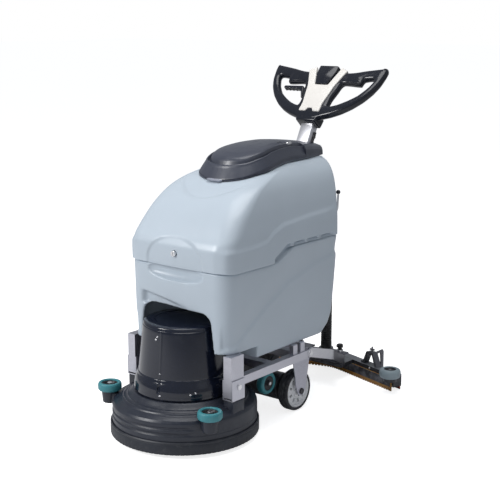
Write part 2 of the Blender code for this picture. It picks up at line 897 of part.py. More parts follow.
def recovery_levels():
    """(height, half width, front, front corner radius) up the upper tank."""
    w, front, corner = TANK_W, TANK_FRONT_Y, FRONT_CORNER_R
    return [
        (SEAM_Z - 0.030, w, front, corner),
        (SEAM_Z + 0.050, w - 0.001, front - 0.003, corner),
        (SEAM_Z + 0.078, w - 0.002, front + 0.004, corner),
        (SEAM_Z + 0.100, w - 0.003, front + 0.020, corner),
        (SEAM_Z + 0.135, w - 0.008, front + 0.046, corner + 0.004),
        (SEAM_Z + 0.170, w - 0.014, front + 0.078, corner + 0.006),
        (SEAM_Z + 0.205, w - 0.024, front + 0.122, corner + 0.004),
        (SEAM_Z + 0.230, w - 0.036, front + 0.170, corner),
        (SEAM_Z + 0.250, w - 0.052, front + 0.230, corner),
        (SEAM_Z + 0.266, w - 0.074, front + 0.300, corner),
        (TANK_TOP_Z, w - 0.100, front + 0.360, corner),
    ]


def recovery_body(name, inset=0.0, low_z=0.0, every=1):
    rings = [
        tank_ring(max(z - inset, low_z), w, front, radius, TANK_REAR_Y, inset)
        for z, w, front, radius in recovery_levels()[::every]
        if z - inset > low_z - 0.020
    ]
    return loft(name, rings, blue_plastic())


def recovery_tank():
    """The dirty-water tank, hinged at its rear edge, with a mouth under the lid."""
    tank = recovery_body("recovery_tank")
    hollow = recovery_body("hollow", TANK_WALL, CAVITY_LOW_Z, 2)
    tank = cut(tank, hollow, seam_cutter("below", False, SEAM_GAP / 2))
    mouth = plate(
        "mouth",
        [[(x * 0.62, 0.33 + (y - 0.31) * 0.62) for x, y in lid_outline()]],
        0.1,
        stainless(),
        place=Matrix.Translation((0, 0, TANK_TOP_Z)),
    )
    lock = rod("lock_hole", (0, TANK_FRONT_Y - 0.02, LOCK_Z), (0, TANK_FRONT_Y + 0.035, LOCK_Z), LOCK_R + GAP)
    lever = rod(
        "lever_hole",
        (LEVER_X, rear_wall(LEVER_X, TANK_REAR_Y) - 0.030, LEVER_Z),
        (LEVER_X, TANK_REAR_Y + 0.02, LEVER_Z),
        LEVER_ROD_R + FIT / 2,
    )
    tank = cut(tank, mouth, lock, lever)
    return dress(tank, blue_plastic(), 50)


def solution_tank():
    """The clean-water tank: a body with a front recess for the motor and an open battery bay."""
    w, front, rear = TANK_W, TANK_FRONT_Y, TANK_REAR_Y
    levels = [
        (TANK_LOW_Z, w - 0.008, front + 0.006, rear - 0.082),
        (TANK_LOW_Z + 0.030, w - 0.005, front + 0.004, rear - 0.046),
        (TANK_LOW_Z + 0.066, w - 0.004, front + 0.003, rear - 0.028),
        (TANK_LOW_Z + 0.150, w - 0.003, front + 0.002, rear - 0.016),
        (TANK_LOW_Z + 0.230, w - 0.002, front + 0.001, rear - 0.008),
        (SEAM_Z + SEAM_RISE + 0.01, w, front, rear),
    ]
    rings = [tank_ring(z, w, yf, FRONT_CORNER_R, yr) for z, w, yf, yr in levels]
    tank = loft("solution_tank", rings, blue_plastic())
    tank = cut(tank, seam_cutter("above", True, -SEAM_GAP / 2), leg_space(), motor_recess())
    bay = box(
        "bay",
        (-BAY_W, BAY_FRONT_Y, BAY_LOW_Z),
        (BAY_W, rear_wall(BAY_W, TANK_REAR_Y) - 0.030, 0.7),
    )
    water = box(
        "water",
        (-BAY_W, TANK_FRONT_Y + 0.040, RECESS_TOP_Z + 0.012),
        (BAY_W, BAY_FRONT_Y - 0.012, 0.7),
    )
    for _, side in SIDES:
        corner = rod(
            "corner",
            (side * BAY_W, TANK_FRONT_Y + 0.030, RECESS_TOP_Z),
            (side * BAY_W, TANK_FRONT_Y + 0.030, 0.7),
            0.030,
        )
        water = cut(water, corner)
    tank = cut(tank, bay, water, finger_recess())
    return dress(tank, blue_plastic(), 50)


def leg_space():
    """The front of the tank stands higher than the rest, on the two posts."""
    return box("leg_space", (-0.3, -0.2, 0.1), (0.3, LEG_END_Y, LEG_LOW_Z))


def motor_recess():
    """The arched space in the tank's front that the motor cover stands in."""
    low, top = LEG_LOW_Z - 0.05, RECESS_TOP_Z
    slope = (RECESS_LOW_W - RECESS_TOP_W) / (top - LEG_LOW_Z)
    low_w = RECESS_LOW_W + 0.05 * slope
    outline = [(-low_w, low), (low_w, low), (RECESS_TOP_W + 0.004, top - 0.030)]
    outline += [(RECESS_TOP_W - 0.004, top - 0.011), (RECESS_TOP_W - 0.018, top - 0.001)]
    outline += [(-RECESS_TOP_W + 0.018, top - 0.001), (-RECESS_TOP_W + 0.004, top - 0.011)]
    outline += [(-RECESS_TOP_W - 0.004, top - 0.030)]
    upright = Matrix(((1, 0, 0, 0), (0, 0, -1, TANK_FRONT_Y), (0, 1, 0, 0), (0, 0, 0, 1)))
    mouth = plate("recess_mouth", [outline], 0.12, stainless(), place=upright)
    well = rod("recess_well", (0, 0, low), (0, 0, top - 0.002), RECESS_R, sides=40)
    keep = box("keep", (-0.3, -0.3, 0), (0.3, TANK_FRONT_Y + 0.020, 1))
    return join(mouth, cut(well, keep))


def finger_recess():
    """A scoop under the seam, to lift the upper tank by."""
    z = SEAM_Z - FINGER_H
    half = [(0, FINGER_W), (FINGER_H * 0.7, FINGER_W * 0.93), (FINGER_H, FINGER_W * 0.7)]
    profile = half + [(r, -along) for r, along in half[::-1]]
    scoop = turned("scoop", profile, stainless(), (0, 0, 0), "X", 24)
    scoop.data.transform(Matrix.Diagonal((1, FINGER_D / FINGER_H, 1, 1)))
    scoop.data.transform(Matrix.Translation((0, TANK_FRONT_Y, z + 0.006)))
    return scoop


def key_lock():
    front = TANK_FRONT_Y - 0.0065
    profile = [
        (0, 0.036),
        (LOCK_R * 0.7, 0.036),
        (LOCK_R * 0.7, 0.006),
        (LOCK_R, 0.006),
        (LOCK_R, 0.001),
        (LOCK_R - 0.001, 0),
        (0, 0),
    ]
    lock = turned("key_lock", profile, zinc(), (0, front, LOCK_Z), "Y", 24)
    keyway = box("keyway", (-0.0012, front - 0.01, LOCK_Z - 0.0045), (0.0012, front + 0.003, LOCK_Z + 0.0045))
    return seat_origin(cut(lock, keyway), (0, front, LOCK_Z))


def battery(name, side):
    w, length, height = BATTERY
    gap = 0.003
    low_x, high_x = sorted((side * gap, side * (gap + w)))
    y = BAY_FRONT_Y + 0.006
    low = (low_x, y, BAY_LOW_Z + GAP)
    case = box("battery_" + name, low, (high_x, y + length, BAY_LOW_Z + height), charcoal_plastic(), 0.004)
    for x in (low_x + 0.035, high_x - 0.035):
        top = BAY_LOW_Z + height
        pole = rod("pole", (x, y + 0.03, top - 0.005), (x, y + 0.03, top + 0.016), 0.008, sides=16)
        case = join(case, pole)
    return dress(case, charcoal_plastic())


def vacuum_motor():
    low = CAVITY_LOW_Z + GAP
    profile = [
        (0, low + 0.135),
        (0.036, low + 0.135),
        (0.040, low + 0.075),
        (0.066, low + 0.068),
        (0.070, low),
        (0, low),
    ]
    return turned("vacuum_motor", profile, black_matt(), (0, 0.515, 0), steps=28)


def float_strainer():
    low = CAVITY_LOW_Z + GAP
    profile = [
        (0, low + 0.150),
        (0.030, low + 0.150),
        (0.030, low + 0.050),
        (0.018, low + 0.040),
        (0.018, low + 0.006),
        (0.034, low + 0.006),
        (0.034, low),
        (0, low),
    ]
    return turned("float_strainer", profile, cream_plastic(), (0, 0.360, 0), steps=24)


# --- lid and rear cover --------------------------------------------------------------------------


def lid_half_width(y):
    w = LID_HALF_W
    span = LID_REAR_Y - LID_FRONT_Y
    steps = [(0, 0), (0.005, 0.20), (0.025, 0.41), (0.062, 0.64), (0.12, 0.82), (0.22, 0.94), (0.33, 0.995)]
    steps += [(0.52, 0.92), (0.72, 0.83), (0.90, 0.78), (1, 0.75), (1.16, 0.66), (1.29, 0.57), (1.42, 0.49)]
    return w * between(steps, (y - LID_FRONT_Y) / span)


def lid_outline():
    """The egg-shaped outline of the lid seen from above, with a straight rear edge."""
    half = []
    for step in (0, 0.005, 0.025, 0.062, 0.12, 0.22, 0.33, 0.52, 0.72, 0.90, 1):
        y = LID_FRONT_Y + step * (LID_REAR_Y - LID_FRONT_Y)
        half.append((lid_half_width(y), y))
    return half + [(-x, y) for x, y in half[:0:-1]]


def top_line(y):
    """The height of the lid's and cover's ridge along the machine."""
    points = [(0.14, 0.800), (0.155, 0.812), (0.175, 0.826), (0.21, 0.843), (0.25, 0.857), (0.30, 0.867)]
    points += [(0.36, 0.872), (0.43, 0.872), (0.50, 0.865), (0.57, 0.856), (0.63, 0.845), (0.65, 0.840)]
    return between(points, y)


def domed(name, outline, centre, steps, mat, keep=None):
    """A shell of rings drawn in towards a centre, at depths under the ridge line.

    Points beyond the kept place along the machine are only drawn in sideways, for a flush joint."""
    rings = []
    for share, depth in steps:
        ring = []
        for x, y in outline:
            px, py = centre[0] + (x - centre[0]) * share, y
            if keep is None or y < keep:
                py = centre[1] + (y - centre[1]) * share
            ring.append((px, py, top_line(py) - depth - 1.1 * px * px))
        rings.append(ring)
    tip = (*centre, top_line(centre[1]) - steps[-1][1])
    return loft(name, rings, mat, 40, tip)


def lid():
    centre = (0, 0.31)
    steps = [(1, 0.16), (1, 0.040), (0.99, 0.034), (0.86, 0.013), (0.83, 0.009), (0.80, 0.013)]
    steps += [(0.765, 0.014), (0.735, 0.006), (0.69, 0.002), (0.4, 0.0)]
    outer = domed("lid", lid_outline(), centre, steps, charcoal_plastic(), centre[1])
    steps = [(0.965, 0.20), (0.955, 0.046), (0.82, 0.020), (0.70, 0.018), (0.4, 0.006)]
    inner = domed("inside", lid_outline(), centre, steps, charcoal_plastic())
    outer = cut(outer, inner, recovery_body("tank_form", -GAP * 2))
    outer = largest(outer)
    return seat_origin(dress(outer, charcoal_plastic(), 40), (0, LID_REAR_Y, LID_PIVOT_Z))


def largest(obj):
    """Keeps an object's biggest loose piece."""
    bm = bmesh.new()
    bm.from_mesh(obj.data)
    groups, seen = [], set()
    for start in bm.verts:
        if start in seen:
            continue
        group, stack = [], [start]
        seen.add(start)
        while stack:
            vert = stack.pop()
            group.append(vert)
            for edge in vert.link_edges:
                other = edge.other_vert(vert)
                if other not in seen:
                    seen.add(other)
                    stack.append(other)
        groups.append(group)
    groups.sort(key=len)
    for group in groups[:-1]:
        bmesh.ops.delete(bm, geom=group, context="VERTS")
    bm.to_mesh(obj.data)
    bm.free()
    return obj


def rear_cover():
    """The fixed black cover behind the lid that the column comes out of."""
    front, rear = LID_REAR_Y + 0.0008, COVER_REAR_Y
    places = (front, front + 0.035, front + 0.075, front + 0.115, rear - 0.008)
    half = [(lid_half_width(y), y) for y in places]
    half += [(lid_half_width(rear) - 0.008, rear)]
    outline = half + [(-x, y) for x, y in half[::-1]]
    centre = (0, (front + rear) / 2)
    steps = [(1, 0.16), (1, 0.026), (0.98, 0.016), (0.93, 0.008), (0.83, 0.003), (0.5, 0.0)]
    body = domed("rear_cover", outline, centre, steps, charcoal_plastic(), 0)
    tube = column_solid("column_space", -0.2, 0.2, GAP)
    return dress(cut(body, tube, recovery_body("tank_form", -GAP * 2)), charcoal_plastic(), 40)


# --- column and handle ---------------------------------------------------------------------------


def column_matrix():
    """The column's own frame: its foot on the tank's top, +Z up its length."""
    return Matrix.Translation((0, COLUMN_FOOT_Y, TANK_TOP_Z)) @ Matrix.Rotation(-COLUMN_LEAN, 4, "X")


def column_solid(name, low, high, grow=0.0):
    body = box(
        name,
        (-COLUMN_W / 2 - grow, -COLUMN_D / 2 - grow, low),
        (COLUMN_W / 2 + grow, COLUMN_D / 2 + grow, high),
        stainless(),
    )
    body.data.transform(column_matrix())
    return body


def column():
    body = column_solid("column", 0.0, 0.130)
    body = cut(body, box("floor", (-0.1, 0.5, 0.7), (0.1, 0.75, TANK_TOP_Z + GAP * 2)))
    body = bevelled(body, 0.004, 2)
    return dress(body, material("column_paint", (0.75, 0.76, 0.79), 0.30, 0.6))


def handle_matrix():
    """The handle's own frame: X across, Y up its leaning plane, Z out of its front."""
    return Matrix.Translation(HANDLE_ROOT) @ Matrix.Rotation(math.pi / 2 - HANDLE_LEAN, 4, "X")


def mirrored(half):
    """A closed outline from its right half, listed from bottom to top."""
    return half + [(-x, y) for x, y in half[::-1]]


def in_handle(obj):
    """Moves a piece made in the handle's own plane to its place."""
    obj.data.transform(handle_matrix())
    return obj


def cover_outline(grow=0.0):
    """The pale cover's Y, with the head's notch at its foot and the display's between its arms."""
    half = [(0.008, 0.052), (0.015, 0.040), (0.0425, 0.040), (0.041, 0.074), (0.0475, 0.106)]
    half += [(0.055, 0.147), (0.066, 0.177), (0.080, 0.214), (0.052, 0.228), (0.026, 0.152)]
    if grow:
        half = [(0.0, 0.040 - grow), (0.0425 + grow, 0.040 - grow), (0.041 + grow, 0.074)]
        half += [(0.0475 + grow, 0.106), (0.055 + grow, 0.147), (0.066 + grow, 0.177)]
        half += [(0.081 + grow, 0.214), (0.083 + grow, 0.24)]
    return mirrored(half)


def handle_loop():
    w, h = HANDLE_HALF_W, HANDLE_H
    half = [(0.028, 0.010), (w * 0.24, 0.021), (w * 0.37, 0.031), (w * 0.515, 0.047), (w * 0.665, 0.071)]
    half += [(w * 0.80, h * 0.43), (w * 0.90, h * 0.57), (w * 0.965, h * 0.72), (w * 0.995, h * 0.87)]
    half += [(w, h * 0.95), (w * 0.985, h * 0.99), (w * 0.955, h), (w * 0.39, h * 0.90), (w * 0.20, h * 0.90)]
    window = [(0.062, 0.069), (w * 0.42, h * 0.333), (w * 0.56, h * 0.41), (w * 0.69, h * 0.505)]
    window += [(w * 0.80, h * 0.65), (w * 0.853, h * 0.795), (w * 0.68, h * 0.775), (w * 0.645, h * 0.685)]
    window += [(w * 0.345, h * 0.695), (w * 0.30, h * 0.56), (w * WINDOW_IN, h * 0.42)]
    outlines = [mirrored(half), window[::-1], [(-x, y) for x, y in window]]
    body = bevelled(plate("handle_loop", outlines, HANDLE_T, black_gloss()), HANDLE_EDGE, 1, 30)
    boss_w, boss_low, boss_top = BOSS
    boss = box("boss", (-boss_w, boss_low, -0.036), (boss_w, boss_top - 0.001, 0.013), black_gloss(), 0.005)
    bump = box("bump", (-0.0075, boss_top - 0.010, 0), (0.0075, 0.0515, 0.013), black_gloss())
    body = join(body, boss, bump)
    seat = plate("seat", [cover_outline(0.0008)], 0.1, black_gloss())
    seat.data.transform(Matrix.Translation((0, 0, COVER_SEAT + 0.05)))
    keep = box("keep", (-0.0072, 0, 0), (0.0072, 0.0515, 0.2))
    foot = box("foot", (-0.1, -0.1, -0.1), (0.1, 0.0395, 0.2))
    body = in_handle(cut(body, cut(seat, foot, keep)))
    socket = column_solid("socket", -0.05, 0.130 + GAP, GAP)
    return dress(cut(body, socket), black_gloss(), 40)


def handle_cover():
    """The pale Y-shaped cover, let into the handle's front."""
    thick = COVER_FRONT - COVER_SEAT - GAP
    cover = plate("handle_cover", [cover_outline()], thick, cream_plastic(), 0.003)
    cover.data.transform(Matrix.Translation((0, 0, COVER_FRONT - thick / 2)))
    return in_handle(dress(cover, cream_plastic()))


def control_housing():
    """The wedge between the cover's arms. Its upper end faces the operator."""
    low = COVER_SEAT + GAP
    w, top = HOUSING_W, HOUSING_TOP
    slack = 0.0012
    half = [(0.024 - slack, 0.153 + slack), (w - slack, 0.207)]
    half += [(w - slack, top - 0.003), (w - slack - 0.003, top)]
    depth = HOUSING_FRONT - low
    face = plate("control_housing", [mirrored(half)], depth, black_gloss(), 0.002)
    face.data.transform(Matrix.Translation((0, 0, low + depth / 2)))
    under_z = HANDLE_H * 0.90 + GAP
    head_low, head_high = (-w + slack, under_z, HOUSING_BACK), (w - slack, top, HOUSING_FRONT - 0.004)
    back = box("head", head_low, head_high, black_gloss(), 0.002)
    body = join(face, back)
    for side in (-1, 1):
        hole = rod("hole", (side * 0.022, top - 0.004, -0.032), (side * 0.022, 0.3, -0.032), BUTTON_R + GAP)
        body = cut(body, hole)
    return in_handle(dress(body, black_gloss()))


def display():
    low = HOUSING_TOP + GAP
    body = box("display", (-0.030, low, -0.020), (0.030, low + 0.002, 0.012), black_gloss(), 0.0006)
    return in_handle(dress(body, material("display_glass", (0.02, 0.03, 0.04), 0.10)))


def button(name, side):
    x, seat = side * 0.022, HOUSING_TOP - 0.004
    start = seat + GAP + BUTTON_TRAVEL
    body = rod("button_" + name, (x, start, -0.032), (x, start + 0.007, -0.032), BUTTON_R, sides=20)
    tint = (0.05, 0.35, 0.12) if side > 0 else (0.60, 0.05, 0.04)
    in_handle(dress(body, material("button_paint_" + name, tint, 0.35)))
    return seat_origin(body, handle_matrix() @ Vector((x, seat, -0.032)))


def finger_lever():
    """The lever that the left hand squeezes against the handle's bar. Its toe rests on the handle."""
    w, h = HANDLE_HALF_W, HANDLE_H
    outline = [(-w * 0.343, h * 0.636), (-w * 0.681, h * 0.627), (-w * 0.694, h * 0.606)]
    for k in range(4):
        x = -w * (0.681 - 0.0655 * k)
        outline += [(x, h * 0.581), (x + w * 0.022, h * 0.572), (x + w * 0.044, h * 0.581)]
    outline += [(-w * 0.397, h * 0.574), (-w * 0.349, h * 0.542), (-w * 0.292, h * 0.424)]
    outline += [(-w * WINDOW_IN - 2 * GAP, h * 0.424), (-w * 0.281, h * 0.45), (-w * 0.315, h * 0.559)]
    outline += [(-w * 0.331, h * 0.602)]
    lever = plate("finger_lever", [outline], 0.016, black_gloss())
    pivot = Vector((-w * 0.334, h * 0.623, 0))
    return seat_origin(in_handle(dress(lever, black_gloss())), handle_matrix() @ pivot)


def handle_cable():
    """The control cable that runs down the column's side from the handle to the rear cover."""
    frame = column_matrix()
    x = COLUMN_W / 2 + 0.0032 + GAP
    route = [(x, 0.006, 0.048), (x, 0.006, 0.060), (x, 0.008, 0.070), (x, 0.007, 0.076), (x, 0.006, 0.082)]
    line = [frame @ Vector(p) for p in route]
    return pipe("handle_cable", line, 0.0032, black_matt(), 1)


# --- squeegee ------------------------------------------------------------------------------------


def arc_place(x, offset=0.0):
    """A point on the squeegee's middle line, moved back square to it by an offset."""
    slope = -SQ_SWEEP * x / math.hypot(x, SQ_NOSE)
    back = Vector((-slope, 1)).normalized()
    return Vector((x + back.x * offset, sweep_y(x) + back.y * offset, 0))


def arc_strip(name, inner, outer, half_w, low, high, mat):
    """A strip that follows the squeegee's line, between two offsets from it."""
    shares = (0, 0.05, 0.12, 0.22, 0.4, 0.7, 1)
    xs = [-half_w * t for t in shares[:0:-1]] + [half_w * t for t in shares]
    outline = [arc_place(x, inner)[:2] for x in xs] + [arc_place(x, outer)[:2] for x in xs[::-1]]
    place = Matrix.Translation((0, 0, (low + high) / 2))
    return plate(name, [outline], high - low, mat, place=place)


def squeegee_body():
    half = SQ_BODY_W / 2
    top = SQ_TOP_Z
    body = arc_strip("squeegee_body", -half, half, SQ_HALF_W, SQ_LOW_Z, top, charcoal_plastic())
    groove = arc_strip("under", -half + 0.005, half - 0.005, SQ_HALF_W - 0.008, 0, top - 0.008, stainless())
    over = BLADE_TOP_Z + GAP
    middle_y = sweep_y(KNOB_X)
    bridge = box(
        "bridge",
        (-KNOB_X - 0.020, KNOB_Y - 0.018, over),
        (KNOB_X + 0.020, middle_y + 0.004, top - 0.0005),
        charcoal_plastic(),
    )
    neck = rod("neck", (0, HOSE_Y, over + 0.004), (0, HOSE_Y, top + 0.030), HOSE_R + 0.006, sides=28)
    bore = rod("bore", (0, HOSE_Y, over + 0.004), (0, HOSE_Y, top + 0.05), HOSE_R - 0.004, sides=28)
    duct = box("duct", (-0.013, HOSE_Y, over + 0.003), (0.013, SQ_MID_Y, top - 0.004))
    body = join(body, bridge, neck)
    for _, side in SIDES:
        centre = end_roller_centre(side)
        ear = rod("ear", (centre.x, centre.y, over), (centre.x, centre.y, top - 0.0005), END_ROLLER_R * 0.62)
        web_low = (centre.x - 0.020, centre.y, over)
        web_high = (centre.x + 0.004, centre.y + END_ROLLER_AHEAD, top - 0.0007)
        web = box("web", web_low, web_high)
        foot, head = (centre.x, centre.y, top - 0.004), (centre.x, centre.y, top + 0.026)
        pin = rod("pin", foot, head, 0.005, sides=16)
        low = (side * KNOB_X, KNOB_Y)
        pad = rod("pad", (*low, top - 0.003), (*low, CARRIER_Z - GAP), 0.013)
        body = join(body, mirror_box(web, side, centre.x), ear, pin, pad)
    return dress(cut(body, groove, bore, duct), charcoal_plastic())


def mirror_box(obj, side, x):
    """The web turned to the inner side of an end roller's ear."""
    if side < 0:
        obj.data.transform(Matrix.Translation((2 * x + 0.016, 0, 0)) @ Matrix.Diagonal((-1, 1, 1, 1)))
        obj.data.flip_normals()
    return obj


def end_roller_centre(side):
    return Vector((side * END_ROLLER_X, sweep_y(END_ROLLER_X) - END_ROLLER_AHEAD, 0))


def blade(name, sign, mat):
    half = SQ_BODY_W / 2 + GAP
    inner, outer = (half, half + BLADE_T) if sign > 0 else (-half - BLADE_T, -half)
    return arc_strip(name, inner, outer, SQ_HALF_W - 0.008, 0, BLADE_TOP_Z, mat)


def end_roller(name, side):
    centre = end_roller_centre(side) + Vector((0, 0, SQ_TOP_Z + GAP))
    r, h = END_ROLLER_R, END_ROLLER_H
    profile = [
        (0.0055, h - 0.010),
        (r * 0.55, h - 0.008),
        (r * 0.62, h),
        (r * 0.80, h),
        (r, h - 0.008),
        (r, 0.008),
        (r * 0.84, 0),
        (0.0055, 0),
    ]
    body = turned("end_roller_" + name, profile, grey_rubber(), centre, steps=20, closed=True)
    return seat_origin(body, centre)


def grey_rubber():
    return material("grey_rubber", (0.30, 0.36, 0.40), 0.50)


def caster(name, side):
    """The arched strap over the squeegee with its height screw, and the small wheel behind."""
    x, half, top = side * CASTER_X, ARCH_HALF_W, ARCH_TOP_Z
    base = SQ_TOP_Z + GAP
    foot_y = sweep_y(CASTER_X)
    centre = Vector((x, CASTER_Y, CASTER_R))
    arch = [
        (-half - 0.012, base),
        (-half + 0.006, base),
        (-0.012, top - 0.009),
        (0.010, top - 0.009),
        (half - 0.009, base),
        (half + 0.004, base),
        (0.017, top - 0.002),
        (0.013, top),
        (-0.014, top),
        (-0.020, top - 0.003),
        (-half - 0.002, base + 0.006),
        (-half - 0.012, base + 0.006),
    ]
    lean = -SQ_SWEEP * x / math.hypot(x, SQ_NOSE)
    turn = Matrix.Rotation(math.atan(lean), 4, "Z")
    flip = Matrix.Diagonal((side, 1, 1, 1))
    upright = Matrix(((1, 0, 0, 0), (0, 0, -1, 0), (0, 1, 0, 0), (0, 0, 0, 1)))
    place = Matrix.Translation((x, foot_y, 0)) @ turn @ flip @ upright
    strap = plate("caster_strap_" + name, [arch], 0.022, stainless(), place=place)
    if side < 0:
        strap.data.flip_normals()
    leg = [
        (foot_y, top - 0.009),
        (CASTER_Y - 0.012, top - 0.009),
        (CASTER_Y - 0.008, 0.066),
        (CASTER_Y - 0.008, CASTER_R - 0.008),
        (CASTER_Y + 0.008, CASTER_R - 0.008),
        (CASTER_Y + 0.008, top - 0.010),
        (CASTER_Y + 0.002, top - 0.001),
        (foot_y, top - 0.001),
    ]
    near = x + side * 0.0115
    fork = extruded("fork", leg, near - 0.0025, near + 0.0025)
    screw = rod("screw", (x, foot_y, top - 0.014), (x, foot_y, top + 0.018), 0.003, sides=12)
    wing = box("wing", (x - 0.010, foot_y - 0.0015, top + 0.005), (x + 0.010, foot_y + 0.0015, top + 0.011))
    pin = rod("pin", (near, CASTER_Y, CASTER_R), (x - side * 0.010, CASTER_Y, CASTER_R), 0.004, sides=16)
    strap = join(strap, fork, screw, wing, pin)
    dress(strap, material("dark_steel", (0.10, 0.10, 0.12), 0.40, 0.6))
    profile = [(0.0045, 0.008), (CASTER_R - 0.003, 0.008), (CASTER_R, 0.005), (CASTER_R, -0.005)]
    profile += [(CASTER_R - 0.003, -0.008), (0.0045, -0.008)]
    roller = turned("caster_wheel_" + name, profile, black_matt(), centre, "X", 24, True)
    return strap, seat_origin(roller, centre)


def squeegee_arm():
    """The lifting arms, hinged at the rear of the rails, with the plate that the squeegee hangs on."""
    pivot_y, pivot_z, half = ARM_PIVOT_Y, ARM_PIVOT_Z, ARM_H / 2
    bend = (0.4950, 0.1675)
    bar_y, bar_x = 0.6300, 0.1700
    bar_low, bar_high = CARRIER_Z, CARRIER_Z + 0.032
    out = FRAME_OUT_X
    body = None
    for _, side in SIDES:
        x = side * (out - ARM_T / 2)
        outline = [
            (pivot_y - 0.013, pivot_z + 0.010),
            (pivot_y - 0.004, pivot_z + 0.015),
            (pivot_y + 0.010, pivot_z + half - 0.001),
            (bend[0], bend[1] + half),
            (bend[0], bend[1] - half),
            (pivot_y + 0.010, pivot_z - half + 0.001),
            (pivot_y - 0.004, pivot_z - 0.012),
            (pivot_y - 0.013, pivot_z - 0.006),
        ]
        arm = extruded("squeegee_arm", outline, x - ARM_T / 2, x + ARM_T / 2)
        hole = rod("hole", (x - 0.02, pivot_y, pivot_z), (x + 0.02, pivot_y, pivot_z), PIVOT_BOLT_R + FIT / 2)
        rings = []
        for y, x_out, z_low, z_high in (
            (bend[0] - 0.002, out, bend[1] - half + 0.001, bend[1] + half),
            (bend[0] + 0.004, out - 0.002, bend[1] - half, bend[1] + half - 0.002),
            (bar_y, bar_x, bar_low, bar_high),
            (bar_y + 0.006, bar_x - 0.004, bar_low, bar_high - 0.001),
        ):
            inner = side * (x_out - ARM_T)
            outer = side * x_out
            rings.append([(outer, y, z_low), (inner, y, z_low), (inner, y, z_high), (outer, y, z_high)])
        link = loft("link", rings, stainless())
        arm = join(cut(arm, hole), link)
        body = join(body, arm) if body else arm
    bar = box("bar", (-bar_x + 0.003, bar_y, bar_low), (bar_x - 0.003, bar_y + 0.005, bar_high - 0.003))
    notch = 0.034
    wide = KNOB_X + 0.024
    outline = [(-bar_x + 0.010, bar_y + 0.001), (bar_x - 0.010, bar_y + 0.001), (wide, KNOB_Y - 0.040)]
    outline += [(wide, KNOB_Y + 0.020), (notch, KNOB_Y + 0.020), (notch, KNOB_Y - 0.005)]
    outline += [(-notch, KNOB_Y - 0.005), (-notch, KNOB_Y + 0.020)]
    outline += [(-wide, KNOB_Y + 0.020), (-wide, KNOB_Y - 0.040)]
    place = Matrix.Translation((0, 0, CARRIER_Z + CARRIER_T / 2))
    carrier = plate("carrier", [outline], CARRIER_T - 0.0006, stainless(), place=place)
    body = join(body, bar, carrier)
    return seat_origin(dress(body, stainless()), (0, pivot_y, pivot_z))


def arm_pin(name, side):
    outer = side * (FRAME_OUT_X + 0.0006)
    inner = side * (FRAME_OUT_X - RAIL_W - 0.003)
    start, end = (inner, ARM_PIVOT_Y, ARM_PIVOT_Z), (outer, ARM_PIVOT_Y, ARM_PIVOT_Z)
    pin = rod("arm_pin_" + name, start, end, PIVOT_BOLT_R, zinc())
    start = (outer - side * GAP, ARM_PIVOT_Y, ARM_PIVOT_Z)
    head = rod("head", start, (outer + side * 0.004, ARM_PIVOT_Y, ARM_PIVOT_Z), PIVOT_BOLT_R * 1.6, zinc(), 6)
    return join(pin, head)


def knob(name, side):
    """The star knob that clamps the squeegee to its carrier, on a thick washer."""
    x, y, r = side * KNOB_X, KNOB_Y, KNOB_R
    low = CARRIER_Z + CARRIER_T
    washer = rod("washer", (x, y, low), (x, y, low + 0.010), r, zinc(), 20)
    stem = rod("stem", (x, y, low + 0.008), (x, y, low + 0.020), r * 0.6, zinc(), 16)
    points = []
    for k in range(20):
        a = math.tau * k / 20
        radius = r * (0.93 + 0.09 * math.cos(5 * a))
        points.append((radius * math.cos(a), radius * math.sin(a)))
    place = Matrix.Translation((x, y, low + 0.024))
    star = plate("squeegee_knob_" + name, [points], 0.012, black_matt(), place=place)
    return seat_origin(dress(join(star, stem, washer), black_matt()), (x, y, low))


def suction_hose():
    """From the squeegee's port straight up, then forward into the socket on the tank's rear wall."""
    low = SQ_TOP_Z + 0.030 + GAP
    route = [(HOSE_Y, low), (HOSE_Y, low + 0.045), (HOSE_Y, low + 0.09), (HOSE_Y, 0.230), (HOSE_Y, 0.270)]
    route += [(HOSE_Y, 0.305), (HOSE_Y - 0.003, 0.340), (HOSE_Y - 0.012, 0.372), (HOSE_Y - 0.028, 0.400)]
    route += [(HOSE_Y - 0.050, 0.420), (HOSE_Y - 0.072, SOCKET_Z), (socket_end_y() + GAP, SOCKET_Z)]
    return pipe("suction_hose", [(0, y, z) for y, z in route], HOSE_R, black_matt(), 3)


def socket_end_y():
    return TANK_REAR_Y + 0.030


def hose_socket():
    rear = rear_wall(0, TANK_REAR_Y - 0.009)
    end = socket_end_y()
    profile = [
        (HOSE_R - 0.005, 0),
        (HOSE_R - 0.005, end - rear - 0.001),
        (HOSE_R + 0.004, end - rear - 0.001),
        (HOSE_R + 0.004, 0.006),
        (HOSE_R + 0.014, 0.006),
        (HOSE_R + 0.014, 0),
    ]
    body = turned("hose_socket", profile, black_matt(), (0, rear + 0.001, SOCKET_Z), "Y", 20, True)
    return body


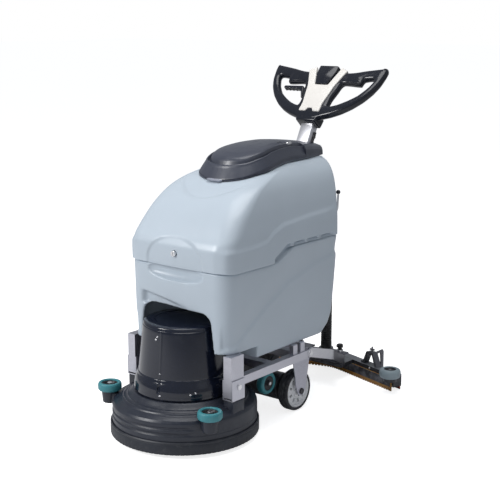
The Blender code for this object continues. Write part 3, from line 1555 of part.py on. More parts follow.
def lift_lever():
    """The bent rod with a ball that raises the squeegee, on the upper tank's rear wall."""
    wall = rear_wall(LEVER_X, TANK_REAR_Y)
    out = wall + 0.026
    line = [
        (LEVER_X, wall - 0.018, LEVER_Z),
        (LEVER_X, wall + 0.016, LEVER_Z),
        (LEVER_X, out - 0.003, LEVER_Z + 0.003),
        (LEVER_X, out, LEVER_Z + 0.010),
        (LEVER_X, out + 0.003, LEVER_Z + LEVER_LEN - LEVER_BALL_R - GAP + 0.0003),
    ]
    arm = pipe("lift_lever", line, LEVER_ROD_R, stainless(), 2)
    seat_origin(arm, (LEVER_X, wall, LEVER_Z))
    centre = (LEVER_X, out + 0.003, LEVER_Z + LEVER_LEN + 0.0006)
    profile = []
    for k in range(9):
        a = math.radians(90 - 22.5 * k)
        profile.append((abs(LEVER_BALL_R * math.cos(a)) if 0 < k < 8 else 0, LEVER_BALL_R * math.sin(a)))
    ball = turned("lever_ball", profile, black_gloss(), centre, steps=16)
    under(arm, ball)
    return arm


# --- the whole machine ---------------------------------------------------------------------------


def build():
    global parts
    clear_scene()
    parts = bpy.data.collections.new("floor_scrubber")
    bpy.context.scene.collection.children.link(parts)

    shell = deck_shell()
    seat_origin(shell, (0, 0, DECK_PIVOT_Z))
    under(shell, deck_skirt(), motor_cover(), brush_motor(), seat_origin(brush(), (0, 0, 0)))
    chassis_frame()
    for name, side in SIDES:
        roller, pin = guard_roller(name, side)
        under(shell, roller, pin, deck_clevis(name, side))
        pivot_bolt(name, side)
        fork_plate(name, side)
        wheel(name, side)
        battery(name, side)
        arm_pin(name, side)
    drive_unit()
    idler()
    solution_tank()
    hose_socket()
    suction_hose()

    tank = recovery_tank()
    seat_origin(tank, (0, TANK_REAR_Y, HINGE_Z))
    stem = column()
    handle = handle_loop()
    under(tank, rear_cover(), stem, handle, lid(), key_lock(), vacuum_motor(), float_strainer(), lift_lever())
    under(tank, handle_cover(), control_housing(), display(), finger_lever(), handle_cable())
    under(tank, button("left", -1), button("right", 1))

    arm = squeegee_arm()
    amber = material("amber_rubber", (0.50, 0.24, 0.04), 0.45)
    red = material("red_rubber", (0.45, 0.04, 0.04), 0.45)
    under(arm, squeegee_body(), blade("blade_front", -1, amber), blade("blade_rear", 1, red))
    for name, side in SIDES:
        strap, roller = caster(name, side)
        under(arm, end_roller(name, side), strap, roller, knob(name, side))

    for obj in parts.objects:
        if obj.parent is None:
            obj.location.y -= MID_Y


build()
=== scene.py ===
"""A walk-behind floor scrubber: the looks of the machine, piece by piece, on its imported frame.

Metres, +Z up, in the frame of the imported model. The machine drives towards -Y.
"""

import math

import bmesh
import bpy
from mathutils import Matrix, Vector


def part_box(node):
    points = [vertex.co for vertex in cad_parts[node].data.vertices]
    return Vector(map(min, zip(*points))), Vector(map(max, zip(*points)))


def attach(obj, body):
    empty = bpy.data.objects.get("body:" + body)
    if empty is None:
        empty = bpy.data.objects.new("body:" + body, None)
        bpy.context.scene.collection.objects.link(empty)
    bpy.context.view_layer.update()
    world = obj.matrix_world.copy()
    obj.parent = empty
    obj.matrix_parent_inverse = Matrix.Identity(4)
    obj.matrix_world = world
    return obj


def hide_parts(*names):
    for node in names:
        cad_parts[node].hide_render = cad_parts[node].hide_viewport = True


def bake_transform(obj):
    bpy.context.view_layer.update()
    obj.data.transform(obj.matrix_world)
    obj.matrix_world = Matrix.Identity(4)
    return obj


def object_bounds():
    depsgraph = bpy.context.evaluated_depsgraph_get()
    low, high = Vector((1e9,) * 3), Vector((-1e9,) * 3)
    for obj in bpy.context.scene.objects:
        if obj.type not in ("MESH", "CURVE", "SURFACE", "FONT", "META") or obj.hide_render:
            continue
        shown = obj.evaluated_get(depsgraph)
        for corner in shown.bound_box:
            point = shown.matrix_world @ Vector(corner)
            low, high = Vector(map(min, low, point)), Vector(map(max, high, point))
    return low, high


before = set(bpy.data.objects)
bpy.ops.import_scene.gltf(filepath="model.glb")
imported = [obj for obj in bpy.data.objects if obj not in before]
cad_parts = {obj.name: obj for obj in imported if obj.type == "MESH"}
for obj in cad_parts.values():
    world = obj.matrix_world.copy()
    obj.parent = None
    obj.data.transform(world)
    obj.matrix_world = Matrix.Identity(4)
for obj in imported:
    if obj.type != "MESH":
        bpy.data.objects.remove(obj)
cad_low, cad_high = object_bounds()

# --- Camera -------------------------------------------------------------------------------------
# A long lens from the front right, a little above the lid, level with the horizon.

brush_low, brush_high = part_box("brush_plate")
AXIS_Y = (brush_low[1] + brush_high[1]) / 2  # the brush axis

camera_data = bpy.data.cameras.new("camera")
camera_data.lens = 79.05
camera_data.sensor_width = 36.0
camera_data.clip_end = 100.0
camera = bpy.data.objects.new("camera", camera_data)
camera.location = (2.174, AXIS_Y - 2.393, 1.2695)
camera.rotation_euler = (math.radians(77.87), 0.0, math.radians(38.68))
bpy.context.collection.objects.link(camera)
bpy.context.scene.camera = camera
bpy.context.scene.view_settings.view_transform = "Standard"


# --- Suction hose -------------------------------------------------------------------------------
# The black ribbed hose that carries dirty water from the squeegee's port up to the tank's rear
# wall. It is one moulded rubber tube with a rib at every turn, pushed over a spigot at each end.


def row(x, y, z):
    """A place that is measured from the brush axis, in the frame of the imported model."""
    return Vector((x, y + AXIS_Y, z))


def node(tree, kind, out=None, sockets=(), **settings):
    """Adds a node and gives its output socket. An input is linked to a socket, or else set to a value."""
    made = tree.nodes.new(kind if "Node" in kind else "ShaderNode" + kind)
    for key, value in settings.items():
        setattr(made, key, value)
    for key, value in dict(sockets).items():
        if isinstance(value, bpy.types.NodeSocket):
            tree.links.new(value, made.inputs[key])
        else:
            made.inputs[key].default_value = value
    return made.outputs[out] if out else made.outputs


def shader_group(name, inputs, outputs):
    """An empty shader node group, with the sockets that bring values in and take them out."""
    tree = bpy.data.node_groups.new(name, "ShaderNodeTree")
    for label, value in inputs.items():
        kind = {4: "Color", 3: "Vector"}[len(value)] if isinstance(value, tuple) else "Float"
        socket = tree.interface.new_socket(label, in_out="INPUT", socket_type="NodeSocket" + kind)
        socket.default_value = value
    for label, kind in outputs.items():
        tree.interface.new_socket(label, in_out="OUTPUT", socket_type="NodeSocket" + kind)
    return tree, tree.nodes.new("NodeGroupInput").outputs, tree.nodes.new("NodeGroupOutput").inputs


def link_all(tree, inputs, sockets):
    """Links each socket to the input of that name."""
    for label, socket in sockets.items():
        tree.links.new(socket, inputs[label])


def moulded_skin_group():
    """Fine leather-like grain of a moulded surface, and the slow mottling of its colour."""
    tree, given, leave = shader_group(
        "moulded_skin",
        {
            "Colour": (0.5, 0.5, 0.5, 1),
            "Roughness": 0.4,
            "Grain Scale": 900.0,
            "Grain Depth": 0.1,
            "Mottling": 0.05,
            "Dust": 0.05,
        },
        {"Colour": "Color", "Roughness": "Float", "Normal": "Vector"},
    )
    place = node(tree, "TexCoord", "Object")
    grain = node(tree, "TexNoise", "Fac", {"Vector": place, "Scale": given["Grain Scale"], "Detail": 3.0})
    cloud = node(tree, "TexNoise", "Fac", {"Vector": place, "Scale": 7.0, "Detail": 5.0})
    speck = node(tree, "TexNoise", "Fac", {"Vector": place, "Scale": 55.0, "Detail": 6.0, "Roughness": 0.7})
    swing = {"Value": cloud, "From Min": 0.3, "From Max": 0.7, "To Min": -1.0, "To Max": 1.0}
    swing = node(tree, "MapRange", "Result", swing)
    amount = node(tree, "Math", "Value", {0: swing, 1: given["Mottling"], 2: 1.0}, operation="MULTIPLY_ADD")
    tint = node(tree, "VectorMath", "Vector", {0: given["Colour"], "Scale": amount}, operation="SCALE")
    film = node(tree, "MapRange", "Result", {"Value": speck, "From Min": 0.52, "From Max": 0.78})
    dusty = node(tree, "Math", "Value", {0: film, 1: given["Dust"]}, operation="MULTIPLY")
    dust_colour = (0.55, 0.55, 0.54, 1)
    dusted = node(tree, "Mix", "Result", {"Factor": dusty, "A": tint, "B": dust_colour}, data_type="RGBA")
    matt = {0: film, 1: 0.22, 2: given["Roughness"]}
    matt = node(tree, "Math", "Value", matt, operation="MULTIPLY_ADD", use_clamp=True)
    bump = node(tree, "Bump", "Normal",
            {"Strength": given["Grain Depth"], "Height": grain, "Distance": 0.0004})
    link_all(tree, leave, {"Colour": dusted, "Roughness": matt, "Normal": bump})
    return tree


def rubbed_edge_group():
    """Where a corner has been rubbed: a mask along convex edges, broken up by noise."""
    given = {"Colour": (0.5, 0.5, 0.5, 1), "Bare": (0.6, 0.6, 0.6, 1), "Amount": 0.3}
    tree, given, leave = shader_group("rubbed_edge", given, {"Colour": "Color"})
    convex = node(tree, "NewGeometry", "Pointiness")
    edge = node(tree, "MapRange", "Result", {"Value": convex, "From Min": 0.53, "From Max": 0.62})
    place = node(tree, "TexCoord", "Object")
    noise = node(tree, "TexNoise", "Fac", {"Vector": place, "Scale": 38.0, "Detail": 6.0})
    broken = node(tree, "MapRange", "Result", {"Value": noise, "From Min": 0.40, "From Max": 0.62})
    both = node(tree, "Math", "Value", {0: edge, 1: broken}, operation="MULTIPLY")
    some = node(tree, "Math", "Value", {0: both, 1: given["Amount"]}, operation="MULTIPLY")
    mix = {"Factor": some, "A": given["Colour"], "B": given["Bare"]}
    tree.links.new(node(tree, "Mix", "Result", mix, data_type="RGBA"), leave["Colour"])
    return tree


MOULDED_SKIN = moulded_skin_group()
RUBBED_EDGE = rubbed_edge_group()


def new_material(name):
    """A material, its tree and the inputs of its shader."""
    mat = bpy.data.materials.new(name)
    mat.use_nodes = True
    return mat, mat.node_tree, mat.node_tree.nodes["Principled BSDF"].inputs


def moulded(name, colour, roughness, grain, grain_scale, mottling, dust, rub, bare=None):
    """A moulded plastic or rubber with grain, slow mottling, a trace of dust and rubbed corners."""
    mat, tree, shader = new_material(name)
    given = {"Colour": (*colour, 1), "Roughness": roughness, "Grain Scale": grain_scale, "Grain Depth": grain}
    skin = node(tree, "Group", None, {**given, "Mottling": mottling, "Dust": dust}, node_tree=MOULDED_SKIN)
    rubbed = (*(bare or [min(1, c * 1.6 + 0.05) for c in colour]), 1)
    edge = {"Colour": skin["Colour"], "Amount": rub, "Bare": rubbed}
    edge = node(tree, "Group", None, edge, node_tree=RUBBED_EDGE)
    link_all(tree, shader,
            {"Base Color": edge["Colour"], "Roughness": skin["Roughness"], "Normal": skin["Normal"]})
    return mat


def finished(name, bm, mat, body, node_name=None, angle=40, outward=True):
    """Makes the bmesh one piece: normals outward, smooth with its creases kept, on its body."""
    bmesh.ops.remove_doubles(bm, verts=bm.verts, dist=1e-6)
    if outward:
        bmesh.ops.recalc_face_normals(bm, faces=bm.faces)
    mesh = bpy.data.meshes.new(name)
    bm.to_mesh(mesh)
    bm.free()
    obj = bpy.data.objects.new(name, mesh)
    bpy.context.collection.objects.link(obj)
    if not mesh.materials:
        mesh.materials.append(mat)
    return settled(obj, body, node_name, angle)


def settled(obj, body, node_name, angle):
    """Shades a made piece, seats it on its body and lets it stand for its CAD node."""
    mesh = obj.data
    mesh.polygons.foreach_set("use_smooth", [True] * len(mesh.polygons))
    mesh.set_sharp_from_angle(angle=math.radians(angle))
    if body:
        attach(obj, body)
    if node_name:
        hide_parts(node_name)
    return obj


def skin_rings(bm, rings, caps=True):
    """Faces between each ring of points and the next, and over both ends."""
    for first, second in zip(rings, rings[1:]):
        for j, k in zip(range(len(first)), [*range(1, len(first)), 0]):
            bm.faces.new((first[j], first[k], second[k], second[j]))
    if caps:
        bm.faces.new(rings[0][::-1])
        bm.faces.new(rings[-1])


def tube_mesh(bm, points, radii, sides):
    """A round tube along points, with its own radius at each."""
    rings = []
    up = Vector((1, 0, 0))
    for k, point in enumerate(points):
        ahead = Vector(points[min(k + 1, len(points) - 1)]) - Vector(points[max(k - 1, 0)])
        ahead.normalize()
        side = up - ahead * up.dot(ahead)
        side.normalize()
        over = ahead.cross(side)
        ring = []
        for j in range(sides):
            a = math.tau * j / sides
            ring.append(bm.verts.new(Vector(point) + (side * math.cos(a) + over * math.sin(a)) * radii[k]))
        rings.append(ring)
        up = side
    skin_rings(bm, rings)


def curve_point(a, b, c, d, t):
    """A point of the Catmull-Rom curve between b and c."""
    bend = (2 * a - 5 * b + 4 * c - d) * t * t + (3 * b - a - 3 * c + d) * t**3
    return 0.5 * ((2 * b) + (c - a) * t + bend)


def smooth_path(points, per):
    """A curve through the points."""
    pts = [Vector(p) for p in points]
    pts = [pts[0] * 2 - pts[1]] + pts + [pts[-1] * 2 - pts[-2]]
    out = []
    for a, b, c, d in zip(pts, pts[1:], pts[2:], pts[3:]):
        out += [curve_point(a, b, c, d, k / per) for k in range(per)]
    return out + [pts[-2]]


HOSE_R = 0.0200
HOSE_PITCH = 0.0075
hose_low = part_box("suction_hose")[0]
hose_y = 0.7650
hose_route = [
    (hose_y, hose_low[2]), (hose_y, hose_low[2] + 0.045), (hose_y, hose_low[2] + 0.09), (hose_y, 0.230),
    (hose_y, 0.270), (hose_y, 0.305), (hose_y - 0.003, 0.340), (hose_y - 0.012, 0.372),
    (hose_y - 0.028, 0.400), (hose_y - 0.050, 0.420), (hose_y - 0.072, 0.430), (hose_low[1] - AXIS_Y, 0.430),
]
hose_points = [row(0, y, z) for y, z in hose_route]
hose_line = smooth_path(hose_points, 24)
hose_length = sum((b - a).length for a, b in zip(hose_line, hose_line[1:]))
hose_mesh = bmesh.new()
hose_radii, travelled = [], 0.0
for previous, point in zip([hose_line[0]] + hose_line, hose_line):
    travelled += (point - previous).length
    from_end = min(travelled, hose_length - travelled)
    rib = 0.5 + 0.5 * math.cos(math.tau * travelled / HOSE_PITCH)
    hose_radii.append(HOSE_R - 0.0001 if from_end < 0.020 else HOSE_R - 0.0022 * (1 - rib) ** 2)
tube_mesh(hose_mesh, hose_line, hose_radii, 40)
hose_rubber = moulded("hose_rubber", (0.012, 0.012, 0.014), 0.42, 0.12, 700, 0.2, 0.10, 0.5)
suction_hose = finished("ribbed_suction_hose", hose_mesh, hose_rubber, None, "suction_hose", 60)
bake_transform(suction_hose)


# --- Brush deck ---------------------------------------------------------------------------------
# The round shell that covers the brush: one rotational moulding in dark plastic, with concentric
# ridges, an ear for each guard roller and a pad for each clevis.


def rounded_line(points, radius, steps, closed=False):
    """A line with its corners turned into small arcs."""
    count = len(points)
    out = []
    for k, point in enumerate(points):
        here = Vector(point)
        if not closed and k in (0, count - 1):
            out.append(here)
            continue
        before = Vector(points[k - 1]) - here
        after = Vector(points[(k + 1) % count]) - here
        reach = min(radius, before.length * 0.48, after.length * 0.48)
        start, end = here + before.normalized() * reach, here + after.normalized() * reach
        for j in range(steps + 1):
            t = j / steps
            out.append(start * (1 - t) ** 2 + here * 2 * t * (1 - t) + end * t * t)
    return out


def lathe(bm, profile, centre, axis="Z", sides=96, swell=None, closed=False):
    """Turns a profile of (radius, height) round an axis through the centre."""
    centre = Vector(centre)
    rings = []
    for r, h in profile:
        ring = []
        for j in range(sides if r > 1e-6 else 1):
            a = math.tau * j / sides
            radius = r + (swell(a, r, h) if swell else 0.0)
            u, v = radius * math.cos(a), radius * math.sin(a)
            offset = {"X": (h, u, v), "Y": (u, h, v), "Z": (u, v, h)}[axis]
            ring.append(bm.verts.new(centre + Vector(offset)))
        rings.append(ring)
    pairs = list(zip(rings, rings[1:])) + ([(rings[-1], rings[0])] if closed else [])
    for first, second in pairs:
        for j in range(sides):
            a, b = first[j % len(first)], first[(j + 1) % len(first)]
            c, d = second[(j + 1) % len(second)], second[j % len(second)]
            corner = []
            for vert in (a, b, c, d):
                if vert not in corner:
                    corner.append(vert)
            if len(corner) > 2:
                bm.faces.new(corner)
    return rings


def slab(bm, low, high, radius, steps=2):
    """A block with its edges rounded."""
    made = bmesh.ops.create_cube(bm, size=1.0)["verts"]
    size = [high[k] - low[k] for k in range(3)]
    middle = [(high[k] + low[k]) / 2 for k in range(3)]
    bmesh.ops.transform(bm, matrix=Matrix.Translation(middle) @ Matrix.Diagonal((*size, 1)), verts=made)
    if radius:
        edges = list({edge for vert in made for edge in vert.link_edges})
        bmesh.ops.bevel(bm, geom=edges, offset=radius, segments=steps, affect="EDGES", profile=0.5)


def add_part(bm, part):
    """Puts a part's mesh into a piece's."""
    held = bpy.data.meshes.new("part")
    part.to_mesh(held)
    part.free()
    bm.from_mesh(held)


DECK_R = 0.2240
EAR_PLACE = (0.2060, -0.1200)
EAR_R = 0.0260
deck_side = [
    (0.2180, 0.024), (0.2240, 0.026), (0.2240, 0.067), (0.2205, 0.070), (0.2205, 0.075), (0.2240, 0.078),
    (0.2240, 0.085), (0.2205, 0.088), (0.2205, 0.093), (0.2235, 0.096), (0.2230, 0.106), (0.2180, 0.114),
    (0.2060, 0.120), (0.1980, 0.123), (0.1955, 0.1275), (0.1905, 0.1295), (0.1870, 0.1275), (0.1835, 0.1310),
    (0.1785, 0.1325), (0.1750, 0.1315), (0.1690, 0.1370), (0.1640, 0.1420), (0.1590, 0.1470),
    (0.0300, 0.1470),
]
deck_under = [(0.0300, 0.1410), (0.1560, 0.1400), (0.2060, 0.1100), (0.2175, 0.1000), (0.2180, 0.0240)]


def ridge_fade(angle, radius, height):
    """The ridges run out beside each ear, and the shell is plain behind them."""
    if radius < 0.16 or height < 0.068 or height > 0.134:
        return 0.0
    plain = DECK_R if height < 0.1 else radius
    turn = abs(math.degrees(math.atan2(math.cos(angle), -math.sin(angle))))
    away = max(0.0, min(1.0, (turn - 44) / 5))
    return (plain - radius) * away


deck_mesh = bmesh.new()
lathe(deck_mesh, rounded_line(deck_side, 0.0016, 3) + [Vector(p) for p in deck_under], row(0, 0, 0),
        sides=144, swell=ridge_fade)
for side in (-1, 1):
    ear = row(side * EAR_PLACE[0], EAR_PLACE[1], 0)
    ear_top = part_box("guard_roller_right")[0][2] - 0.0006
    ear_profile = [(0.0066, ear_top), (EAR_R, ear_top), (EAR_R - 0.003, 0.085), (0.0066, 0.085)]
    lathe(deck_mesh, rounded_line(ear_profile, 0.0025, 3), ear, sides=48, closed=True)
    inward = (row(0, 0, 0) - ear).normalized()
    web = bmesh.new()
    slab(web, (-0.012, -0.0215, 0.086), (0.030, 0.0215, ear_top - 0.004), 0.003)
    turned = Matrix.Rotation(math.atan2(inward.y, inward.x), 4, "Z")
    web.transform(Matrix.Translation(ear + inward * 0.010) @ turned)
    add_part(deck_mesh, web)
    low = row(min(side * 0.1768, side * 0.2172), -0.026, 0.098)
    high = row(max(side * 0.1768, side * 0.2172), 0.026, 0.1495)
    slab(deck_mesh, low, high, 0.004)
deck_plastic = moulded("deck_plastic", (0.017, 0.021, 0.034), 0.33, 0.16, 700, 0.12, 0.03, 0.30,
        (0.11, 0.12, 0.15))
finished("deck_dome", deck_mesh, deck_plastic, "deck", "deck_shell", angle=50)


# --- Skirt --------------------------------------------------------------------------------------
# A rubber splash guard clipped round the foot of the deck. Its lower lip is cut into short
# fingers so that water runs back in under the brush.

SKIRT_R = 0.2300


def fingers(angle, radius, height):
    """Ninety small cuts round the lower lip."""
    return -0.0012 * max(0.0, math.cos(angle * 90)) if height < 0.018 else 0.0


skirt_mesh = bmesh.new()
skirt_profile = [
    (0.2243, 0.050), (0.2275, 0.0515), (SKIRT_R, 0.048), (SKIRT_R - 0.001, 0.043), (SKIRT_R, 0.041),
    (SKIRT_R, 0.020), (SKIRT_R, 0.014), (SKIRT_R - 0.001, 0.0125), (0.2260, 0.0125), (0.2250, 0.016),
    (0.2243, 0.018),
]
lathe(skirt_mesh, skirt_profile, row(0, 0, 0), sides=720, swell=fingers, closed=True)
skirt_rubber = moulded("skirt_rubber", (0.012, 0.015, 0.024), 0.46, 0.2, 700, 0.15, 0.06, 0.3)
finished("splash_skirt", skirt_mesh, skirt_rubber, "deck", "deck_skirt", angle=35)


# --- Brush --------------------------------------------------------------------------------------
# A moulded disc that drops onto the motor shaft, filled with rings of stiff nylon tufts.

TUFT_TOP = 0.0320


def geometry_tree(name, inputs):
    """An empty Geometry Nodes tree with named inputs, and the sockets that bring them in."""
    tree = bpy.data.node_groups.new(name, "GeometryNodeTree")
    tree.is_modifier = True
    for label, kind in inputs.items():
        tree.interface.new_socket(label, in_out="INPUT", socket_type="NodeSocket" + kind)
    tree.interface.new_socket("Geometry", in_out="OUTPUT", socket_type="NodeSocketGeometry")
    return tree, tree.nodes.new("NodeGroupInput").outputs


def give_out(tree, geometry, material):
    """Ends a tree: real geometry with its material."""
    whole = node(tree, "GeometryNodeRealizeInstances", "Geometry", {"Geometry": geometry})
    paint = node(tree, "GeometryNodeSetMaterial", "Geometry", {"Geometry": whole, "Material": material})
    tree.links.new(paint, tree.nodes.new("NodeGroupOutput").inputs["Geometry"])
    return tree


def tuft_rings():
    """Geometry Nodes: tufts set round a ring, leaning out a little, at a named spacing."""
    inputs = {"Radius": "Float", "Tufts": "Int", "Length": "Float", "Bristle": "Material"}
    tree, given = geometry_tree("tuft_ring", inputs)
    ring = {"Vertices": given["Tufts"], "Radius": given["Radius"]}
    ring = node(tree, "GeometryNodeMeshCircle", "Mesh", ring)
    tuft = {"Vertices": 7, "Radius Top": 0.0030, "Radius Bottom": 0.0042, "Depth": given["Length"]}
    tuft = node(tree, "GeometryNodeMeshCone", "Mesh", tuft)
    wobble = {"Min": (-0.05, -0.05, 0), "Max": (0.05, 0.05, 3.1), "Seed": 11}
    wobble = node(tree, "FunctionNodeRandomValue", "Value", wobble, data_type="FLOAT_VECTOR")
    spread = {"Points": ring, "Instance": tuft, "Rotation": wobble}
    spread = node(tree, "GeometryNodeInstanceOnPoints", "Instances", spread)
    return give_out(tree, spread, given["Bristle"])


def from_nodes(tree, values):
    """The plain mesh that a Geometry Nodes tree makes with these named inputs."""
    holder = bpy.data.objects.new("maker", bpy.data.meshes.new("maker"))
    bpy.context.collection.objects.link(holder)
    modifier = holder.modifiers.new("made", "NODES")
    modifier.node_group = tree
    for item in tree.interface.items_tree:
        if item.in_out == "INPUT" and item.name in values:
            modifier[item.identifier] = values[item.name]
    graph = bpy.context.evaluated_depsgraph_get()
    mesh = bpy.data.meshes.new_from_object(holder.evaluated_get(graph), depsgraph=graph)
    bpy.data.objects.remove(holder)
    return mesh


bristle_nylon = moulded("bristle_nylon", (0.020, 0.024, 0.034), 0.55, 0.3, 1400, 0.3, 0.2, 0.2)
TUFT_TREE = tuft_rings()
bristle_mesh = bmesh.new()
for radius in (0.130, 0.150, 0.170, 0.190, 0.208):
    values = {"Radius": radius, "Tufts": int(math.tau * radius / 0.0125), "Length": TUFT_TOP - 0.002}
    ring_mesh = from_nodes(TUFT_TREE, {**values, "Bristle": bristle_nylon})
    ring_mesh.transform(Matrix.Translation(row(0, 0, TUFT_TOP / 2 + 0.001)))
    bristle_mesh.from_mesh(ring_mesh)
finished("brush_tufts", bristle_mesh, bristle_nylon, "brush", "brush_bristles", angle=60)
block_mesh = bmesh.new()
block_line = [
    (0.0, 0.1465), (0.0200, 0.1465), (0.0200, 0.056), (0.0480, 0.0445), (0.2100, 0.0445), (0.2100, 0.0325),
    (0.0, 0.0325),
]
lathe(block_mesh, rounded_line(block_line, 0.002, 3), row(0, 0, 0), sides=96)
block_plastic = moulded("brush_block_plastic", (0.10, 0.11, 0.13), 0.5, 0.2, 500, 0.2, 0.1, 0.3)
finished("brush_block", block_mesh, block_plastic, "brush", "brush_plate")


# --- Motor cover --------------------------------------------------------------------------------
# The tall black bell over the brush motor: two glossy moulded halves, screwed together along an
# upright seam, standing on a wider band that is screwed to the deck.

BELL_SEAM = math.radians(-90 + 10.5)


def bell_swell(angle, radius, height):
    """The upright seam's rib, and the slot beside it in the foot band."""
    if radius < 0.10:
        return 0.0
    turn = (angle - BELL_SEAM + math.pi) % math.tau - math.pi
    along = turn * radius
    rib = 0.0016 * math.exp(-((along / 0.0022) ** 2)) - 0.0012 * math.exp(-((along / 0.0007) ** 2))
    if height < 0.205:
        across = (along - 0.001) / 0.0046
        up = (height - 0.1830) / 0.0145
        rib = -0.0048 * max(0.0, 1 - (across * across + up * up) ** 2)
    return rib if 0.152 < height < 0.352 else 0.0


def set_shader(mat, values):
    """Sets values that are the same all over a surface."""
    for label, value in values.items():
        mat.node_tree.nodes["Principled BSDF"].inputs[label].default_value = value


bell = [(0.1300, 0.1480), (0.1535, 0.1480), (0.1550, 0.1520), (0.1550, 0.1580), (0.1541, 0.1640)]
foot = [(0.1441 + 0.0100 * (1 - t**2.2), 0.1640 + 0.0380 * t) for t in [k / 14 for k in range(1, 15)]]
body_line = [(0.1405 - 0.0150 * t, 0.2100 + 0.1400 * t) for t in [k / 24 for k in range(25)]]
bell_profile = rounded_line(bell, 0.002, 3) + [Vector(p) for p in foot]
bell_profile += rounded_line([(0.1438, 0.2040), (0.1425, 0.2075), (0.1405, 0.2095)], 0.001, 2)
bell_profile += [Vector(p) for p in body_line]
bell_profile += rounded_line([(0.1252, 0.3515), (0.1236, 0.3528), (0.1234, 0.3550), (0.1215, 0.3620),
        (0.1140, 0.3648)], 0.003, 4)
bell_profile += rounded_line([(0.1080, 0.3650), (0.0900, 0.3650), (0.0880, 0.3635), (0.0, 0.3635)], 0.002, 3)
bell_mesh = bmesh.new()
lathe(bell_mesh, bell_profile, row(0, 0, 0), sides=360, swell=bell_swell)
bell_gloss = moulded("bell_gloss", (0.006, 0.009, 0.021), 0.12, 0.02, 900, 0.10, 0.012, 0.20,
        (0.08, 0.09, 0.12))
set_shader(bell_gloss, {"Coat Weight": 0.2, "Coat Roughness": 0.08})
finished("motor_bell", bell_mesh, bell_gloss, "deck", "motor_cover", angle=35)


# --- Bell screws --------------------------------------------------------------------------------
# Small bright cross-head screws: along the bell's seam, and in its foot band.


def screw_head_tree():
    """Geometry Nodes: one domed screw head with a cross slot, at a named size."""
    tree, given = geometry_tree("screw_head", {"Radius": "Float", "Finish": "Material"})
    radius = given["Radius"]
    ball = node(tree, "GeometryNodeMeshUVSphere", "Mesh", {"Segments": 24, "Rings": 12, "Radius": radius})
    flat = node(tree, "GeometryNodeTransform", "Geometry", {"Geometry": ball, "Scale": (1, 1, 0.55)})
    cut = tree.nodes.new("GeometryNodeMeshBoolean")
    cut.operation = "DIFFERENCE"
    tree.links.new(flat, cut.inputs["Mesh 1"])
    for size in ((1.2, 0.22, 0.5), (0.132, 1.2, 0.5)):
        across = node(tree, "VectorMath", "Vector", {0: size, "Scale": radius}, operation="SCALE")
        bar = node(tree, "GeometryNodeMeshCube", "Mesh", {"Size": across})
        height = node(tree, "Math", "Value", {0: radius, 1: 0.55}, operation="MULTIPLY")
        up = node(tree, "CombineXYZ", "Vector", {"Z": height})
        bar = node(tree, "GeometryNodeTransform", "Geometry", {"Geometry": bar, "Translation": up})
        tree.links.new(bar, cut.inputs["Mesh 2"])
    return give_out(tree, cut.outputs["Mesh"], given["Finish"])


def facing(place, out):
    """A matrix that stands a fixing at a place with its +Z along a direction."""
    return Matrix.Translation(place) @ Vector(out).to_track_quat("Z", "Y").to_matrix().to_4x4()


def brushed_metal_group():
    """Long fine scratches along one direction, and the faint bands that they leave."""
    tree, given, leave = shader_group(
        "brushed_metal",
        {"Colour": (0.6, 0.6, 0.6, 1), "Roughness": 0.3, "Stretch": (900.0, 20.0, 900.0), "Smudges": 0.2},
        {"Colour": "Color", "Roughness": "Float", "Normal": "Vector"},
    )
    place = node(tree, "TexCoord", "Object")
    stretch = node(tree, "VectorMath", "Vector", {0: place, 1: given["Stretch"]}, operation="MULTIPLY")
    lines = node(tree, "TexNoise", "Fac", {"Vector": stretch, "Scale": 1.0, "Detail": 4.0})
    smudge = node(tree, "TexNoise", "Fac", {"Vector": place, "Scale": 26.0, "Detail": 5.0})
    tone = node(tree, "MapRange", "Result", {"Value": lines, "To Min": 0.82, "To Max": 1.14})
    tint = node(tree, "VectorMath", "Vector", {0: given["Colour"], "Scale": tone}, operation="SCALE")
    blur = {0: smudge, 1: given["Smudges"], 2: given["Roughness"]}
    blur = node(tree, "Math", "Value", blur, operation="MULTIPLY_ADD", use_clamp=True)
    bump = node(tree, "Bump", "Normal", {"Strength": 0.10, "Distance": 0.0003, "Height": lines})
    link_all(tree, leave, {"Colour": tint, "Roughness": blur, "Normal": bump})
    return tree


BRUSHED_METAL = brushed_metal_group()


def brushed(name, colour, roughness, stretch, smudges):
    """Bare metal with a rolled or brushed finish."""
    mat, tree, shader = new_material(name)
    shader["Metallic"].default_value = 1.0
    lines = {"Colour": (*colour, 1), "Roughness": roughness, "Stretch": stretch, "Smudges": smudges}
    lines = node(tree, "Group", None, lines, node_tree=BRUSHED_METAL)
    link_all(tree, shader,
            {"Base Color": lines["Colour"], "Roughness": lines["Roughness"], "Normal": lines["Normal"]})
    return mat


zinc = brushed("zinc", (0.82, 0.82, 0.84), 0.24, (500, 500, 60), 0.15)
SCREW_TREE = screw_head_tree()


def add_screw(bm, radius, place, out):
    """Puts a screw head into a piece's mesh, with its top along a direction."""
    head = from_nodes(SCREW_TREE, {"Radius": radius, "Finish": zinc})
    head.transform(facing(place, out))
    bm.from_mesh(head)


bell_screws = bmesh.new()
for turn, radius, height in (
    (-7, 0.1268, 0.335),
    (-9, 0.1278, 0.326),
    (0, 0.1278, 0.322),
    (0, 0.1385, 0.226),
    (3, 0.1546, 0.163),
    (38, 0.1535, 0.170),
    (44, 0.1530, 0.174),
    (180, 0.1278, 0.322),
    (180, 0.1385, 0.226),
):
    angle = BELL_SEAM + math.radians(turn)
    out = Vector((math.cos(angle), math.sin(angle), 0.1))
    place = row(radius * math.cos(angle), radius * math.sin(angle), height)
    add_screw(bell_screws, 0.0030, place, out)
finished("bell_screws", bell_screws, zinc, "deck", outward=False)


# --- Chassis frame ------------------------------------------------------------------------------
# Welded from brushed stainless sections: two front posts, two side rails, rear uprights and the
# cross members between them. Every edge is broken by hand after welding.


